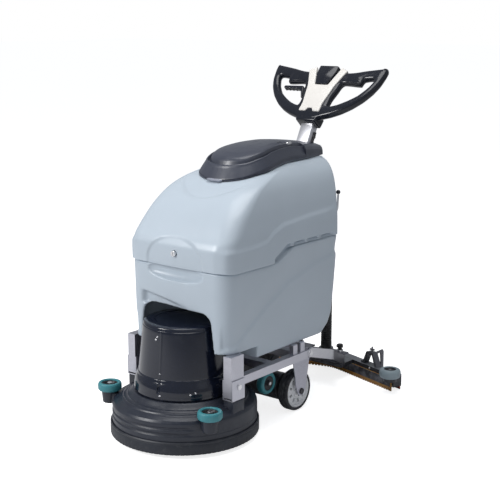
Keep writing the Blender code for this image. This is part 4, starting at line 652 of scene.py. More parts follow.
def modified(obj, name, kind, **settings):
    """Adds a modifier with its settings."""
    modifier = obj.modifiers.new(name, kind)
    for key, value in settings.items():
        setattr(modifier, key, value)


def refined(name, body, mat, bevel, angle=32, shape=None, segments=2):
    """The piece that a CAD node outlines, with its flat faces made whole and its edges broken."""
    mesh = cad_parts[name].data
    bm = bmesh.new()
    bm.from_mesh(mesh)
    bmesh.ops.remove_doubles(bm, verts=bm.verts, dist=1e-5)
    bmesh.ops.dissolve_limit(bm, angle_limit=math.radians(0.8), verts=bm.verts, edges=bm.edges)
    for vert in bm.verts if shape else ():
        vert.co = shape(vert.co)
    made = bpy.data.meshes.new(name)
    bm.to_mesh(made)
    bm.free()
    made.materials.append(mat)
    obj = bpy.data.objects.new("finished_" + name, made)
    bpy.context.collection.objects.link(obj)
    if bevel:
        edge = {"width": bevel, "segments": segments, "use_clamp_overlap": True, "harden_normals": True}
        edge.update(limit_method="ANGLE", angle_limit=math.radians(angle))
        modified(obj, "broken_edges", "BEVEL", **edge)
    return settled(obj, body, name, angle)


stainless = brushed("stainless", (0.60, 0.60, 0.66), 0.27, (60, 900, 900), 0.22)
refined("chassis_frame", "chassis", stainless, 0.0014)


# --- Fork plates --------------------------------------------------------------------------------
# A pressed steel plate, welded under each rail, that tapers down to carry the wheel's axle.

fork_steel = brushed("fork_plate_steel", (0.60, 0.60, 0.67), 0.36, (900, 60, 500), 0.25)


HUB_Y = 0.368  # the axle, behind the brush axis


def tapered(place):
    """The plate narrows from the rail down to the hub."""
    middle = AXIS_Y + HUB_Y
    share = 0.56 + 0.44 * max(0.0, min(1.0, (place.z - 0.085) / 0.085))
    return Vector((place.x, middle + (place.y - middle) * share, place.z))


for side in ("left", "right"):
    refined("fork_plate_" + side, "chassis", fork_steel, 0.0010, shape=tapered)


# --- Clevises and pivot bolts -------------------------------------------------------------------
# A folded stainless clevis stands on each side of the deck and hangs it from the frame's post on
# a single hexagon bolt. The guard rollers' and the squeegee arm's pins are the same zinc.

clevis_steel = brushed("clevis_steel", (0.58, 0.58, 0.64), 0.25, (900, 900, 50), 0.2)
for side in ("left", "right"):
    refined("deck_clevis_" + side, "deck", clevis_steel, 0.0008)
    refined("pivot_bolt_" + side, "chassis", zinc, 0.0006)
    refined("arm_pin_" + side, "chassis", zinc, 0.0006)
    refined("guard_pin_" + side, "deck", zinc, 0.0005)


# --- Drive unit and idler bracket ---------------------------------------------------------------
# The transaxle that turns both wheels, and the small bracket that holds the idler roller, in
# black-coated steel.

black_steel = moulded("black_coated_steel", (0.020, 0.021, 0.026), 0.40, 0.3, 800, 0.2, 0.14, 0.6,
        (0.20, 0.20, 0.22))
refined("drive_unit", "chassis", black_steel, 0.0012)
refined("idler_bracket", "chassis", black_steel, 0.0008)
refined("brush_motor", "deck", black_steel, 0.0010)


# --- Batteries ----------------------------------------------------------------------------------
# Two sealed batteries in black polypropylene cases, side by side on the floor of the lower tank.

case_plastic = moulded("battery_case", (0.018, 0.018, 0.020), 0.45, 0.3, 900, 0.15, 0.12, 0.3)
for side in ("left", "right"):
    refined("battery_" + side, "chassis", case_plastic, 0.0020)


# --- Hose socket --------------------------------------------------------------------------------
# A grey moulded spigot in the tank's rear wall that the suction hose is pushed onto.

socket_plastic = moulded("socket_plastic", (0.16, 0.17, 0.19), 0.45, 0.2, 900, 0.15, 0.12, 0.3)
refined("hose_socket", "chassis", socket_plastic, 0.0010)


# --- Lower tank ---------------------------------------------------------------------------------
# The clean-water tank and battery bay: one rotationally moulded polyethylene shell. All its edges
# are soft, and its thick wall shows at the arch in front of the motor.


def between(points, t):
    """Straight interpolation in a table of (place, value)."""
    for (a, va), (b, vb) in zip(points, points[1:]):
        if t <= b:
            return va + (vb - va) * max(0.0, min(1.0, (t - a) / (b - a)))
    return points[-1][1]


def step(value, start, end):
    """0 before the start, 1 after the end, and smooth between."""
    t = max(0.0, min(1.0, (value - start) / (end - start)))
    return t * t * (3 - 2 * t)


def rear_wall(x, rear_y):
    """The rear wall's place, which bows forward towards both sides."""
    share = abs(x) / 0.2
    return rear_y - 0.05 * share - 0.04 * share * share


def tank_columns(pitch=0.0035):
    """(kind, share) of each column round a tank, from its front middle to its rear middle."""
    columns = []
    for kind, length in (("front", 0.14), ("corner", 0.088), ("side", 0.50), ("turn", 0.032), ("rear", 0.20)):
        count = int(length / (pitch * (0.6 if kind == "turn" else 1)))
        columns += [(kind, k / count) for k in range(count)]
    return columns + [("rear", 1.0)]


def tank_point(column, w, front_y, corner, rear_y):
    """A column's place on the tank's outline: straight front, round corner, side, turn and bowed rear."""
    kind, share = column
    corner_y = rear_wall(w, rear_y) - 0.025
    side_y = front_y + corner + 0.003
    if kind == "front":
        return (w - corner) * share, front_y + 0.003 * share * share
    if kind == "corner":
        a = math.radians(90 * share)
        return w - corner + corner * math.sin(a), front_y + 0.003 + corner * (1 - math.cos(a))
    if kind == "side":
        return w, side_y + (corner_y - side_y) * share
    if kind == "turn":
        a = math.radians(60 * share)
        return w - 0.025 * (1 - math.cos(a)), corner_y + 0.025 * math.sin(a)
    x = (w - 0.0125) * (1 - share)
    blend_in = max(0.0, 1 - share * 8)
    edge_y = corner_y + 0.025 * math.sin(math.radians(60))
    return x, rear_wall(x, rear_y) * (1 - blend_in) + edge_y * blend_in


SEAM_Z = 0.530
SEAM_STEP = 0.037


def seam_height(y):
    """The line between the tanks, which steps up towards the rear."""
    return SEAM_Z + SEAM_STEP * between([(0.180, 0.0), (0.190, 0.06), (0.248, 0.94), (0.258, 1.0)], y)


def tank_shell(form, z_at, rows, soft, cap_y):
    """A closed tank: rows between its ends, soft end edges and two capped ends."""
    half = tank_columns()
    columns = [(c, 1) for c in half] + [(c, -1) for c in half[-2:0:-1]]
    bm = bmesh.new()
    rings = []
    plan = [(0.0, share) for share in (0.15, 0.35, 0.6, 0.8, 0.92)]
    plan += [(k / rows, 1.0) for k in range(rows + 1)]
    plan += [(1.0, share) for share in (0.92, 0.8, 0.6, 0.35, 0.15)]
    for t, share in plan:
        ring = []
        for column, side in columns:
            low_y = tank_point(column, *form(z_at(0.0, 0.0) if share == 1.0 else z_at(t, 0.0)))[1]
            z = z_at(t, low_y)
            x, y = tank_point(column, *form(z))
            height = z_at(1.0, low_y) - z_at(0.0, low_y)
            end = min(t, 1 - t) * height
            inset = soft - math.sqrt(max(0.0, soft**2 - max(0.0, soft - end) ** 2))
            centre = Vector((0, cap_y))
            flat = Vector((x, y)) - centre
            flat = centre + flat * ((1 - inset / flat.length) * share)
            if share < 1.0:
                z = z_at(t, flat.y)
            ring.append(bm.verts.new(row(flat.x * side, flat.y, z)))
        rings.append(ring)
    skin_rings(bm, rings)
    bmesh.ops.recalc_face_normals(bm, faces=bm.faces)
    bm.normal_update()
    return bm


def embossed(bm, height_at):
    """Moves each point out along its normal by a height that depends on its place."""
    moves = [(v, v.normal * height_at(v.co.x, v.co.y - AXIS_Y, v.co.z, v.normal)) for v in bm.verts]
    for vert, move in moves:
        vert.co += move
    return bm


def mesh_object(name, bm):
    """An object for a closed shape, with its faces outward."""
    bmesh.ops.recalc_face_normals(bm, faces=bm.faces)
    mesh = bpy.data.meshes.new(name)
    bm.to_mesh(mesh)
    bm.free()
    obj = bpy.data.objects.new(name, mesh)
    bpy.context.collection.objects.link(obj)
    return obj


def evaluated_mesh(obj):
    """The object's mesh with its modifiers applied. The object itself goes."""
    graph = bpy.context.evaluated_depsgraph_get()
    mesh = bpy.data.meshes.new_from_object(obj.evaluated_get(graph), depsgraph=graph)
    bpy.data.objects.remove(obj)
    return mesh


def solid_of(obj):
    """The object's evaluated mesh as a bmesh."""
    bm = bmesh.new()
    bm.from_mesh(evaluated_mesh(obj))
    return bm


def carve(obj, *cutters):
    """Cuts closed shapes out of an object."""
    for cutter in cutters:
        modified(obj, "cut", "BOOLEAN", operation="DIFFERENCE", solver="EXACT", object=cutter)
    name = obj.name
    mesh = evaluated_mesh(obj)
    for cutter in cutters:
        bpy.data.objects.remove(cutter)
    made = bpy.data.objects.new(name, mesh)
    bpy.context.collection.objects.link(made)
    return made


def block(low, high, radius=0.0):
    """A closed block to cut with."""
    bm = bmesh.new()
    slab(bm, low, high, radius, 4)
    return mesh_object("block", bm)


def prism(outline, low, high):
    """A closed outline stretched from one place to another."""
    bm = bmesh.new()
    ends = [[bm.verts.new(Vector(point) + Vector(end)) for point in outline] for end in (low, high)]
    skin_rings(bm, ends)
    return mesh_object("prism", bm)


def mirrored(half):
    """An outline from its right half."""
    return half + [(-x, y) for x, y in half[::-1]]


TANK_FOOT_Z = 0.247  # the lower tank's underside
JOINT_GAP = 0.0004  # half the gap between the tanks
lower_table = [
    (0.247, 0.194, -0.034, 0.553), (0.277, 0.197, -0.036, 0.589), (0.313, 0.198, -0.037, 0.607),
    (0.397, 0.199, -0.038, 0.619), (0.477, 0.200, -0.039, 0.627), (0.577, 0.202, -0.040, 0.635),
]


def level_at(table, z):
    """The values that a table of (height, value, value, value) has at a height."""
    return [between([(level[0], level[k]) for level in table], z) for k in (1, 2, 3)]


def lower_form(z):
    """Half the width, the front's place, the corner's radius and the rear's place."""
    w, front, rear = level_at(lower_table, z)
    return w, front, 0.056, rear


def lower_height(t, y):
    return TANK_FOOT_Z + (seam_height(y) - JOINT_GAP - TANK_FOOT_Z) * t


def lower_relief(x, y, z, normal):
    """The soft swept line on each side, and the lip over the arch."""
    relief = 0.0
    if abs(normal.x) > 0.5:
        line = between([(0.0, 0.300), (0.06, 0.340), (0.165, 0.404), (0.267, 0.454), (0.4, 0.490),
                (0.56, 0.512)], y)
        relief -= 0.0050 * step(z, line - 0.007, line + 0.007) * (1 - step(z, line + 0.010, line + 0.085))
    if normal.y < -0.5 and abs(x) < 0.16:
        share = max(0.0, min(1.0, (0.060 - x) / 0.190))
        lip = (1 - step(z, 0.405 + 0.026 * share, 0.412 + 0.030 * share)) * (1 - step(abs(x), 0.128, 0.146))
        relief -= 0.015 * lip * min(1.0, 1.6 * share) * step(z, 0.397, 0.404)
    return relief


lower_shell = mesh_object("lower_tank",
        embossed(tank_shell(lower_form, lower_height, 84, 0.004, 0.30), lower_relief))
recess_half = [
    (0.1535, 0.235), (0.1385, 0.360), (0.1368, 0.374), (0.1322, 0.387), (0.1235, 0.3970), (0.1100, 0.4025),
    (0.0950, 0.4040),
]
well_mesh = bmesh.new()
lathe(well_mesh, [(0, 0.23), (0.165, 0.23), (0.165, 0.403), (0, 0.403)], row(0, 0, 0), sides=120)
well = carve(mesh_object("well", well_mesh), block(row(-0.3, -0.3, 0), row(0.3, -0.025, 1)))
scoop_mesh = bmesh.new()
scoop_line = [(0.0265 * math.sin(math.pi * k / 24) ** 0.8, -0.113 * math.cos(math.pi * k / 24))
        for k in range(25)]
lathe(scoop_mesh, scoop_line, (0, 0, 0), "X", 64)
scoop_mesh.transform(Matrix.Translation(row(0, -0.040, 0.5130)) @ Matrix.Diagonal((1, 0.80, 1, 1)))
lower_shell = carve(
    lower_shell,
    block(row(-0.3, -0.2, 0.1), row(0.3, 0.115, 0.285)),
    prism([(x, AXIS_Y, z) for x, z in mirrored(recess_half)], (0, -0.12, 0), (0, 0.02, 0)),
    well,
    mesh_object("scoop", scoop_mesh),
    block(row(-0.178, 0.178, 0.259), row(0.178, 0.503, 0.7), 0.012),
    block(row(-0.178, 0.000, 0.417), row(0.178, 0.166, 0.7), 0.018),
)
modified(lower_shell, "cast", "REMESH", mode="VOXEL", voxel_size=0.0034)
modified(lower_shell, "ease", "SMOOTH", factor=0.5, iterations=5)
modified(lower_shell, "thin", "DECIMATE", ratio=0.42)
tank_plastic = moulded("tank_polyethylene", (0.490, 0.560, 0.632), 0.30, 0.08, 700, 0.020, 0.01, 0.10,
        (0.68, 0.74, 0.80))
finished("lower_tank", solid_of(lower_shell), tank_plastic, "chassis", "solution_tank", angle=70)


# --- Upper tank ---------------------------------------------------------------------------------
# The dirty-water tank: the same soft moulding, sloped at the front up to the lid's mouth and
# hinged along its rear edge. A shallow shield surrounds the lock at the front.

UPPER_TOP_Z = 0.806
TANK_REAR_Y = 0.635
SHIELD_HALF_W = 0.114
SHIELD_H = 0.090
LOCK_Z = 0.572
upper_table = [
    (0.50, 0.202, -0.040, 0.056), (0.58, 0.201, -0.043, 0.056), (0.608, 0.200, -0.036, 0.056),
    (0.63, 0.199, -0.020, 0.056), (0.665, 0.194, 0.006, 0.060), (0.70, 0.188, 0.038, 0.062),
    (0.735, 0.178, 0.082, 0.060), (0.76, 0.166, 0.130, 0.056), (0.78, 0.150, 0.190, 0.056),
    (0.796, 0.128, 0.260, 0.056), (0.806, 0.102, 0.320, 0.056),
]
upper_curve = [tuple(p) for p in smooth_path([Vector(level) for level in upper_table], 8)]


def upper_form(z, inset=0.0):
    w, front, corner = level_at(upper_curve, z)
    return w - inset, front + inset, max(0.012, corner - inset), TANK_REAR_Y - inset * 1.1


def upper_height(t, y):
    low = seam_height(y) + JOINT_GAP
    share = 0.058 * t / 0.12 if t < 0.12 else 0.058 + 0.942 * math.sin((t - 0.12) / 0.88 * math.pi / 2)
    return low + (UPPER_TOP_Z - low) * share


def upper_relief(x, y, z, normal):
    """The shield, the swept line on each side, the soft dish round the lid and the side slots."""
    relief = 0.0
    if normal.y < -0.4 and z < 0.64:
        across = min(1.0, abs(x) / SHIELD_HALF_W)
        top = SEAM_Z + SHIELD_H * math.sqrt(1 - across**2.6)
        inside = (1 - step(z, top - 0.006, top + 0.004)) * (1 - step(abs(x), 0.106, 0.116))
        relief -= 0.0042 * inside
    if abs(normal.x) > 0.35:
        line = between([(0.0, 0.596), (0.10, 0.597), (0.15, 0.603), (0.19, 0.626), (0.24, 0.643),
                (0.37, 0.652), (0.6, 0.662)], y)
        below = 1 - step(z, line - 0.009, line + 0.009)
        relief += 0.0042 * below * step(abs(normal.x), 0.35, 0.8) * (1 - step(y, 0.44, 0.56))
    ring = math.hypot(x / 0.172, (y - 0.315) / 0.245)
    dish = 0.0050 * (1 - step(ring, 0.965, 1.035)) * step(normal.z, 0.1, 0.35)
    relief -= dish * step(ring, 0.5, 0.8) * (1 - step(y, 0.10, 0.19))
    above = z - seam_height(y)
    if abs(normal.x) > 0.7 and above > 0.0008 and 0.18 < y < 0.52:
        rib = 0.5 * step(math.cos((y - 0.285) * math.tau / 0.072), 0.5, 0.8) * step(y, 0.25, 0.26)
        depth = step(y, 0.186, 0.196) * (1 - step(y, 0.500, 0.510)) * (1 - step(above, 0.0105, 0.0140))
        relief -= 0.0130 * depth * (1 - rib)
    return relief


LID_FRONT_Y = 0.148
LID_DEPTH = 0.352


def lid_half_width(y):
    """Half the lid's width, and the rear cover's behind it."""
    table = [
        (0, 0), (0.005, 0.20), (0.025, 0.41), (0.062, 0.64), (0.12, 0.82), (0.22, 0.94), (0.33, 0.995),
        (0.52, 0.92), (0.72, 0.83), (0.90, 0.78), (1, 0.75), (1.16, 0.66), (1.29, 0.57), (1.42, 0.49),
    ]
    return 0.122 * between(table, (y - LID_FRONT_Y) / LID_DEPTH)


def lid_outline():
    """The egg-shaped outline of the lid seen from above, with a straight rear edge."""
    table = [
        (0, 0), (0.0244, 0.005), (0.05, 0.025), (0.078, 0.062), (0.100, 0.12), (0.1147, 0.22), (0.1214, 0.33),
        (0.1122, 0.52), (0.1013, 0.72), (0.0952, 0.90), (0.0915, 1.0),
    ]
    half = smooth_path([Vector((x, LID_FRONT_Y + LID_DEPTH * share, 0)) for x, share in table], 8)
    half[0].x = 0.0
    return [(p.x, p.y) for p in half] + [(-p.x, p.y) for p in half[:0:-1]]


upper_shell = mesh_object("upper_tank",
        embossed(tank_shell(upper_form, upper_height, 116, 0.0035, 0.40), upper_relief))
hollow_mesh = bmesh.new()
hollow_half = tank_columns(0.012)
hollow_rings = []
for z in (0.600, 0.62, 0.65, 0.68, 0.71, 0.74, 0.765, 0.785, 0.796):
    flat = [tank_point(c, *upper_form(z + 0.008, 0.010)) for c in hollow_half]
    ring = [row(x, y, z) for x, y in flat] + [row(-x, y, z) for x, y in flat[-2:0:-1]]
    hollow_rings.append([hollow_mesh.verts.new(p) for p in ring])
skin_rings(hollow_mesh, hollow_rings)
mouth_line = [(x * 0.62, 0.33 + (y - 0.31) * 0.62 + AXIS_Y, 0) for x, y in lid_outline()]
lock_mesh = bmesh.new()
lathe(lock_mesh, [(0, -0.07), (0.0098, -0.07), (0.0098, 0.0), (0, 0.0)], row(0, 0, LOCK_Z), "Y", 40)
mouth = prism(mouth_line, (0, 0, 0.70), (0, 0, 0.90))
upper_shell = carve(upper_shell, mesh_object("hollow", hollow_mesh), mouth,
        mesh_object("lock_hole", lock_mesh))
finished("upper_tank_shell", solid_of(upper_shell), tank_plastic, "upper_tank", "recovery_tank", angle=42)


# --- Lid ----------------------------------------------------------------------------------------
# The dirty-water tank's lid: a satin black moulding with a sloping skirt, a bright rounded ring, a
# groove and a raised plateau, on a soft gasket. It hinges at its rear edge.


def ridge_line(y):
    """The height of the ridge along the lid and the rear cover."""
    table = [
        (0.14, 0.800), (0.155, 0.812), (0.175, 0.826), (0.21, 0.843), (0.25, 0.857), (0.30, 0.867),
        (0.36, 0.872), (0.43, 0.872), (0.50, 0.865), (0.57, 0.856), (0.63, 0.845), (0.65, 0.840),
    ]
    return between(table, y)


ridge_curve = [(y, sum(ridge_line(y + d) for d in (-0.02, -0.01, 0, 0.01, 0.02)) / 5)
        for y in [0.14 + 0.005 * k for k in range(104)]]


def tank_top(x, y):
    """The upper tank's surface under the lid."""
    low, high = 0.56, UPPER_TOP_Z
    for _ in range(22):
        z = (low + high) / 2
        w, front, corner, _ = upper_form(z)
        reach = abs(x) - (w - corner)
        edge = front + 0.003 + (corner - math.sqrt(max(0.0, corner**2 - reach**2)) if reach > 0 else 0.0)
        if abs(x) < w and y > edge and reach < corner:
            low = z
        else:
            high = z
    return low


CROSS_FALL = 1.1


def crown(x, y):
    """The height of the lid's highest surface: a ridge that falls away to both sides."""
    return between(ridge_curve, y) - CROSS_FALL * x * x


def drawn_in(point, share, centre, keep):
    """A point drawn in towards the centre. Past the kept line it moves across only."""
    x, y = point
    px = centre[0] + (x - centre[0]) * share
    py = centre[1] + (y - centre[1]) * share if y < keep else y
    return px, py


def domed_rings(bm, outline, centre, steps, keep):
    """Rings of an outline drawn in step by step, each under the crown or above the tank."""
    rings = []
    for share, depth, on_tank in steps:
        ring = []
        for point in outline:
            px, py = drawn_in(point, share, centre, keep)
            z = crown(px, py) - depth
            if on_tank is not None:
                z = tank_top(px, py) + on_tank
            ring.append(bm.verts.new(row(px, py, z)))
        rings.append(ring)
    skin_rings(bm, rings, False)
    return rings


def eased_steps(steps):
    """More steps between the given ones, so that each roll of the surface is round."""
    line = rounded_line([Vector((share, depth * 8, 0)) for share, depth in steps], 0.014, 4)
    return [(p.x, p.y / 8, None) for p in line]


lid_steps = [
    (1.0, 0.040), (0.99, 0.034), (0.870, 0.0145), (0.850, 0.0095), (0.825, 0.0090), (0.805, 0.0140),
    (0.792, 0.0200), (0.765, 0.0200), (0.742, 0.0085), (0.715, 0.0030), (0.66, 0.0010), (0.5, 0.0),
    (0.2, 0.0), (0.02, 0.0),
]
lid_mesh = bmesh.new()
lid_line = lid_outline()
under_steps = [
    (0.90, 0.0, 0.010), (0.955, 0.0, 0.0012), (0.985, 0.0, 0.0012), (0.995, 0.0, 0.0030),
    (0.995, 0.0, 0.0052), (1.0, 0.0, 0.0060), (1.0, 0.0, 0.0080),
]
lid_rings = domed_rings(lid_mesh, lid_line, (0, 0.31), under_steps + eased_steps(lid_steps), 0.31)
lid_mesh.faces.new(lid_rings[-1])
inner_rings = []
for share, lower in ((0.88, 0.012), (0.72, 0.006), (0.4, 0.005), (0.02, 0.005)):
    ring = []
    for point in lid_line:
        px, py = drawn_in(point, share, (0, 0.31), 0.31)
        under = crown(px, py) - (0.024 if share < 0.8 else 0.034)
        ring.append(lid_mesh.verts.new(row(px, py, max(under, tank_top(px, py) + lower))))
    inner_rings.append(ring)
skin_rings(lid_mesh, [lid_rings[0]] + inner_rings, False)
lid_mesh.faces.new(inner_rings[-1][::-1])
lid_plastic = moulded("lid_plastic", (0.042, 0.048, 0.070), 0.34, 0.06, 900, 0.05, 0.02, 0.12,
        (0.14, 0.15, 0.18))
set_shader(lid_plastic, {"Coat Weight": 0.25, "Coat Roughness": 0.18})
finished("tank_lid", lid_mesh, lid_plastic, "lid", "lid", angle=40)


# --- Lid's finger grip and hinge tabs -----------------------------------------------------------
# A pale moulded lip under the front of the lid to lift it by and, at its rear, the bright hinge tab
# beside two black blocks that are painted shade for the two slots there.

lip_mesh = bmesh.new()
lip_points = []
for k in range(25):
    x = -0.030 + 0.0025 * k
    y = between([(0, 0.148), (0.0244, 0.1498), (0.05, 0.1568), (0.078, 0.1698)], abs(x))
    lip_points.append(row(x, y - 0.0030, tank_top(x, y) + 0.0052))
lip_radii = [0.0048 * math.sqrt(max(0.15, 1 - ((k - 12) / 12.5) ** 4)) for k in range(25)]
tube_mesh(lip_mesh, lip_points, lip_radii, 12)
lip_plastic = moulded("lip_plastic", (0.27, 0.29, 0.35), 0.38, 0.1, 900, 0.04, 0.05, 0.2)
finished("lid_lip", lip_mesh, lip_plastic, "lid", angle=60)
# Painted shade: black blocks, sunk into the lid and barely proud of it, stand for the shade inside the two
# slots.
slot_shade_mesh = bmesh.new()
for x, y, length in ((0.052, 0.405, 0.022), (0.064, 0.445, 0.024)):
    z = crown(x, y)
    low, high = row(x - 0.0035, y - length / 2, z - 0.006), row(x + 0.0035, y + length / 2, z + 0.0006)
    slab(slot_shade_mesh, low, high, 0.0012)
finished("lid_slot_shade", slot_shade_mesh, black_steel, "lid", angle=40)
tab_mesh = bmesh.new()
tab_z = between(ridge_curve, 0.43)
slab(tab_mesh, row(0.066, 0.425, tab_z - 0.012), row(0.073, 0.447, tab_z - 0.0035), 0.0018)
finished("lid_tab", tab_mesh, zinc, "lid", angle=40)


# --- Rear cover ---------------------------------------------------------------------------------
# The fixed satin black cover behind the lid that the column comes out of.

cover_ys = [0.5008 + 0.0072 * k for k in range(20)]
cover_half = [(lid_half_width(y), y) for y in cover_ys] + [(lid_half_width(0.645) - 0.008, 0.645)]
cover_line = mirrored(cover_half)
cover_mesh = bmesh.new()
cover_roll = [(1.0, 0.026), (0.985, 0.016), (0.93, 0.008), (0.83, 0.003), (0.5, 0.0), (0.1, 0.0)]
cover_steps = [(1.0, 0.0, 0.0012), (1.0, 0.0, 0.006)] + eased_steps(cover_roll)
cover_rings = domed_rings(cover_mesh, cover_line, (0, 0.5729), cover_steps, 0)
cover_mesh.faces.new(cover_rings[0][::-1])
cover_mesh.faces.new(cover_rings[-1])
COLUMN_LEAN = math.radians(27)  # backwards
column_place = Matrix.Translation(row(0, 0.5970, 0.8060)) @ Matrix.Rotation(-COLUMN_LEAN, 4, "X")
space = bmesh.new()
slab(space, (-0.0262, -0.0172, -0.2), (0.0262, 0.0172, 0.2), 0.003)
space.transform(column_place)
rear_shell = carve(mesh_object("rear_cover_shell", cover_mesh), mesh_object("column_space", space))
finished("rear_cover_shell", solid_of(rear_shell), lid_plastic, "upper_tank", "rear_cover", angle=35)


# --- Column and cable ---------------------------------------------------------------------------
# The rectangular steel column under the handle, in satin silver paint, with the control cable
# clipped down its side.

column_paint = brushed("column_paint", (0.78, 0.78, 0.82), 0.25, (700, 700, 40), 0.2)
refined("column", "upper_tank", column_paint, 0.0012)
cable_mesh = bmesh.new()
CABLE_X = 0.0287  # beside the column's right face
cable_route = [(0.006, 0.048), (0.006, 0.060), (0.008, 0.070), (0.007, 0.076), (0.006, 0.082)]
cable_points = smooth_path([column_place @ Vector((CABLE_X, y, z)) for y, z in cable_route], 10)
tube_mesh(cable_mesh, cable_points, [0.0031] * len(cable_points), 20)
for share in (0.0, 0.55, 1.0):
    off = between([(0, 0.006), (0.7, 0.0085), (1, 0.006)], share)
    clip_place = column_place @ Vector((CABLE_X, off, 0.048 + 0.034 * share))
    along = column_place.to_3x3()
    ring_points = [clip_place + (along @ Vector((0, 0, h))) for h in (-0.002, -0.001, 0.001, 0.002)]
    tube_mesh(cable_mesh, ring_points, [0.0036, 0.0042, 0.0042, 0.0036], 20)
cable_rubber = moulded("cable_rubber", (0.014, 0.014, 0.016), 0.4, 0.2, 900, 0.1, 0.1, 0.3)
finished("control_cable", cable_mesh, cable_rubber, "upper_tank", "handle_cable", angle=45)


# --- Handle loop --------------------------------------------------------------------------------
# The wing-shaped grip in gloss black: a round-section loop on each side, joined to a boss that
# clamps the column's head.

HANDLE_TILT = math.radians(90 - 41.4)  # the loop's face, up from level
handle_place = Matrix.Translation(row(0, 0.6233, 0.91)) @ Matrix.Rotation(HANDLE_TILT, 4, "X")
outer_edge = [
    (0.028, 0.010), (0.0550, 0.021), (0.0847, 0.031), (0.1179, 0.047), (0.1523, 0.071), (0.1832, 0.1015),
    (0.2061, 0.1345), (0.2210, 0.1699), (0.2279, 0.2053), (0.2290, 0.2242), (0.2256, 0.2336), (0.2187, 0.236),
    (0.1500, 0.2240), (0.0893, 0.2124),
]
inner_edge = [
    (0.062, 0.069), (0.0962, 0.0786), (0.1282, 0.0968), (0.1580, 0.1192), (0.1832, 0.1534), (0.1953, 0.1876),
    (0.1557, 0.1829), (0.1477, 0.1617), (0.0790, 0.1640), (0.0687, 0.1322), (0.0607, 0.0991),
]


def smooth_loop(points, per):
    """A closed curve through the points, kept near their straight lines."""
    pts = [Vector((*p, 0)) for p in points]
    out = []
    count = len(pts)
    for k in range(count):
        a, b, c, d = pts[k - 1], pts[k], pts[(k + 1) % count], pts[(k + 2) % count]
        for j in range(per):
            t = j / per
            out.append(curve_point(a, b, c, d, t).lerp(b.lerp(c, t), 0.45))
    return out


EDGE_STEPS = 10


def pillow_plate(bm, outline, windows, thick, edge, place):
    """A thick plate with outlines, whose edges are rounded towards both faces."""
    rings_of = []
    for line, inward in [(outline, -1)] + [(w, 1) for w in windows]:
        count = len(line)
        area = sum(line[j].x * line[(j + 1) % count].y - line[(j + 1) % count].x * line[j].y
                for j in range(count))
        turn = (1 if area > 0 else -1) * inward
        normals = []
        for j in range(count):
            along = (line[(j + 1) % count] - line[j - 1]).normalized()
            normals.append(Vector((along.y, -along.x, 0)) * turn)
        rings = []
        for k in range(EDGE_STEPS + 1):
            a = math.pi * k / EDGE_STEPS
            inset, z = edge * (1 - math.sin(a)), thick / 2 * math.cos(a)
            ring = [place @ (p + n * inset + Vector((0, 0, z))) for p, n in zip(line, normals)]
            rings.append([bm.verts.new(p) for p in ring])
        skin_rings(bm, rings, False)
        rings_of.append(rings)
    for end in (0, -1):
        edges = []
        for rings in rings_of:
            ring = rings[end]
            for j in range(len(ring)):
                edges.append(bm.edges.get((ring[j], ring[(j + 1) % len(ring)])))
        bmesh.ops.triangle_fill(bm, edges=edges, use_beauty=True)


handle_mesh = bmesh.new()
loop_line = smooth_loop(mirrored(outer_edge), 7)
right_window = smooth_loop(inner_edge, 7)
left_window = [Vector((-p.x, p.y, 0)) for p in right_window]
pillow_plate(handle_mesh, loop_line, [right_window, left_window], 0.0275, 0.0115, handle_place)
boss_mesh = bmesh.new()
slab(boss_mesh, (-0.041, 0.004, -0.036), (0.041, 0.040, 0.0128), 0.006, 4)
slab(boss_mesh, (-0.0075, 0.034, -0.004), (0.0075, 0.0512, 0.0128), 0.002, 3)
boss_mesh.transform(handle_place)
add_part(handle_mesh, boss_mesh)
handle_gloss = moulded("handle_gloss", (0.008, 0.010, 0.017), 0.13, 0.02, 1200, 0.08, 0.01, 0.04,
        (0.06, 0.06, 0.08))
finished("handle_grip", handle_mesh, handle_gloss, "upper_tank", "handle_loop", angle=40)


# --- Handle cover -------------------------------------------------------------------------------
# The cream Y-shaped shell on the handle's front, snapped over the loop and the column's head.

cover_gloss = moulded("cover_cream", (0.76, 0.735, 0.70), 0.30, 0.05, 900, 0.02, 0.03, 0.12,
        (0.85, 0.82, 0.80))
cream_half = [
    (0.0078, 0.0525), (0.0150, 0.0400), (0.0425, 0.0400), (0.0410, 0.0740), (0.0475, 0.1060),
    (0.0550, 0.1470), (0.0660, 0.1770), (0.0800, 0.2140), (0.0520, 0.2280), (0.0262, 0.1525),
]
cream_line = rounded_line([(x, y, 0) for x, y in mirrored(cream_half)], 0.004, 5, True)
cream_mesh = bmesh.new()
cream_place = handle_place @ Matrix.Translation((0, 0, 0.0112))
pillow_plate(cream_mesh, cream_line, [], 0.0118, 0.0028, cream_place)
finished("cream_cover", cream_mesh, cover_gloss, "upper_tank", "handle_cover", angle=45)


# --- Control housing, display and buttons -------------------------------------------------------
# The black wedge between the cover's arms, with a small display and a stop and a start button on
# the end that faces the operator.

refined("control_housing", "upper_tank", handle_gloss, 0.0014)
display_glass = moulded("display_glass", (0.012, 0.018, 0.024), 0.08, 0.0, 900, 0.05, 0.03, 0.0)
refined("display", "upper_tank", display_glass, 0.0005)
stop_red = moulded("stop_red", (0.52, 0.03, 0.025), 0.30, 0.05, 900, 0.04, 0.04, 0.3)
start_green = moulded("start_green", (0.03, 0.30, 0.09), 0.30, 0.05, 900, 0.04, 0.04, 0.3)
refined("button_left", "stop_button", stop_red, 0.0010)
refined("button_right", "start_button", start_green, 0.0010)
refined("finger_lever", "finger_grip", handle_gloss, 0.0028, 28, segments=4)
refined("key_lock", "lock", zinc, 0.0004)


# --- Lift lever ---------------------------------------------------------------------------------
# The bent rod with a black ball that raises the squeegee.

refined("lift_lever", "squeegee_lever", zinc, 0.0)
refined("lever_ball", "squeegee_lever", handle_gloss, 0.0)


# --- Vacuum motor and strainer ------------------------------------------------------------------
# Inside the upper tank, seen only through its mouth: the vacuum motor and the float's cage.

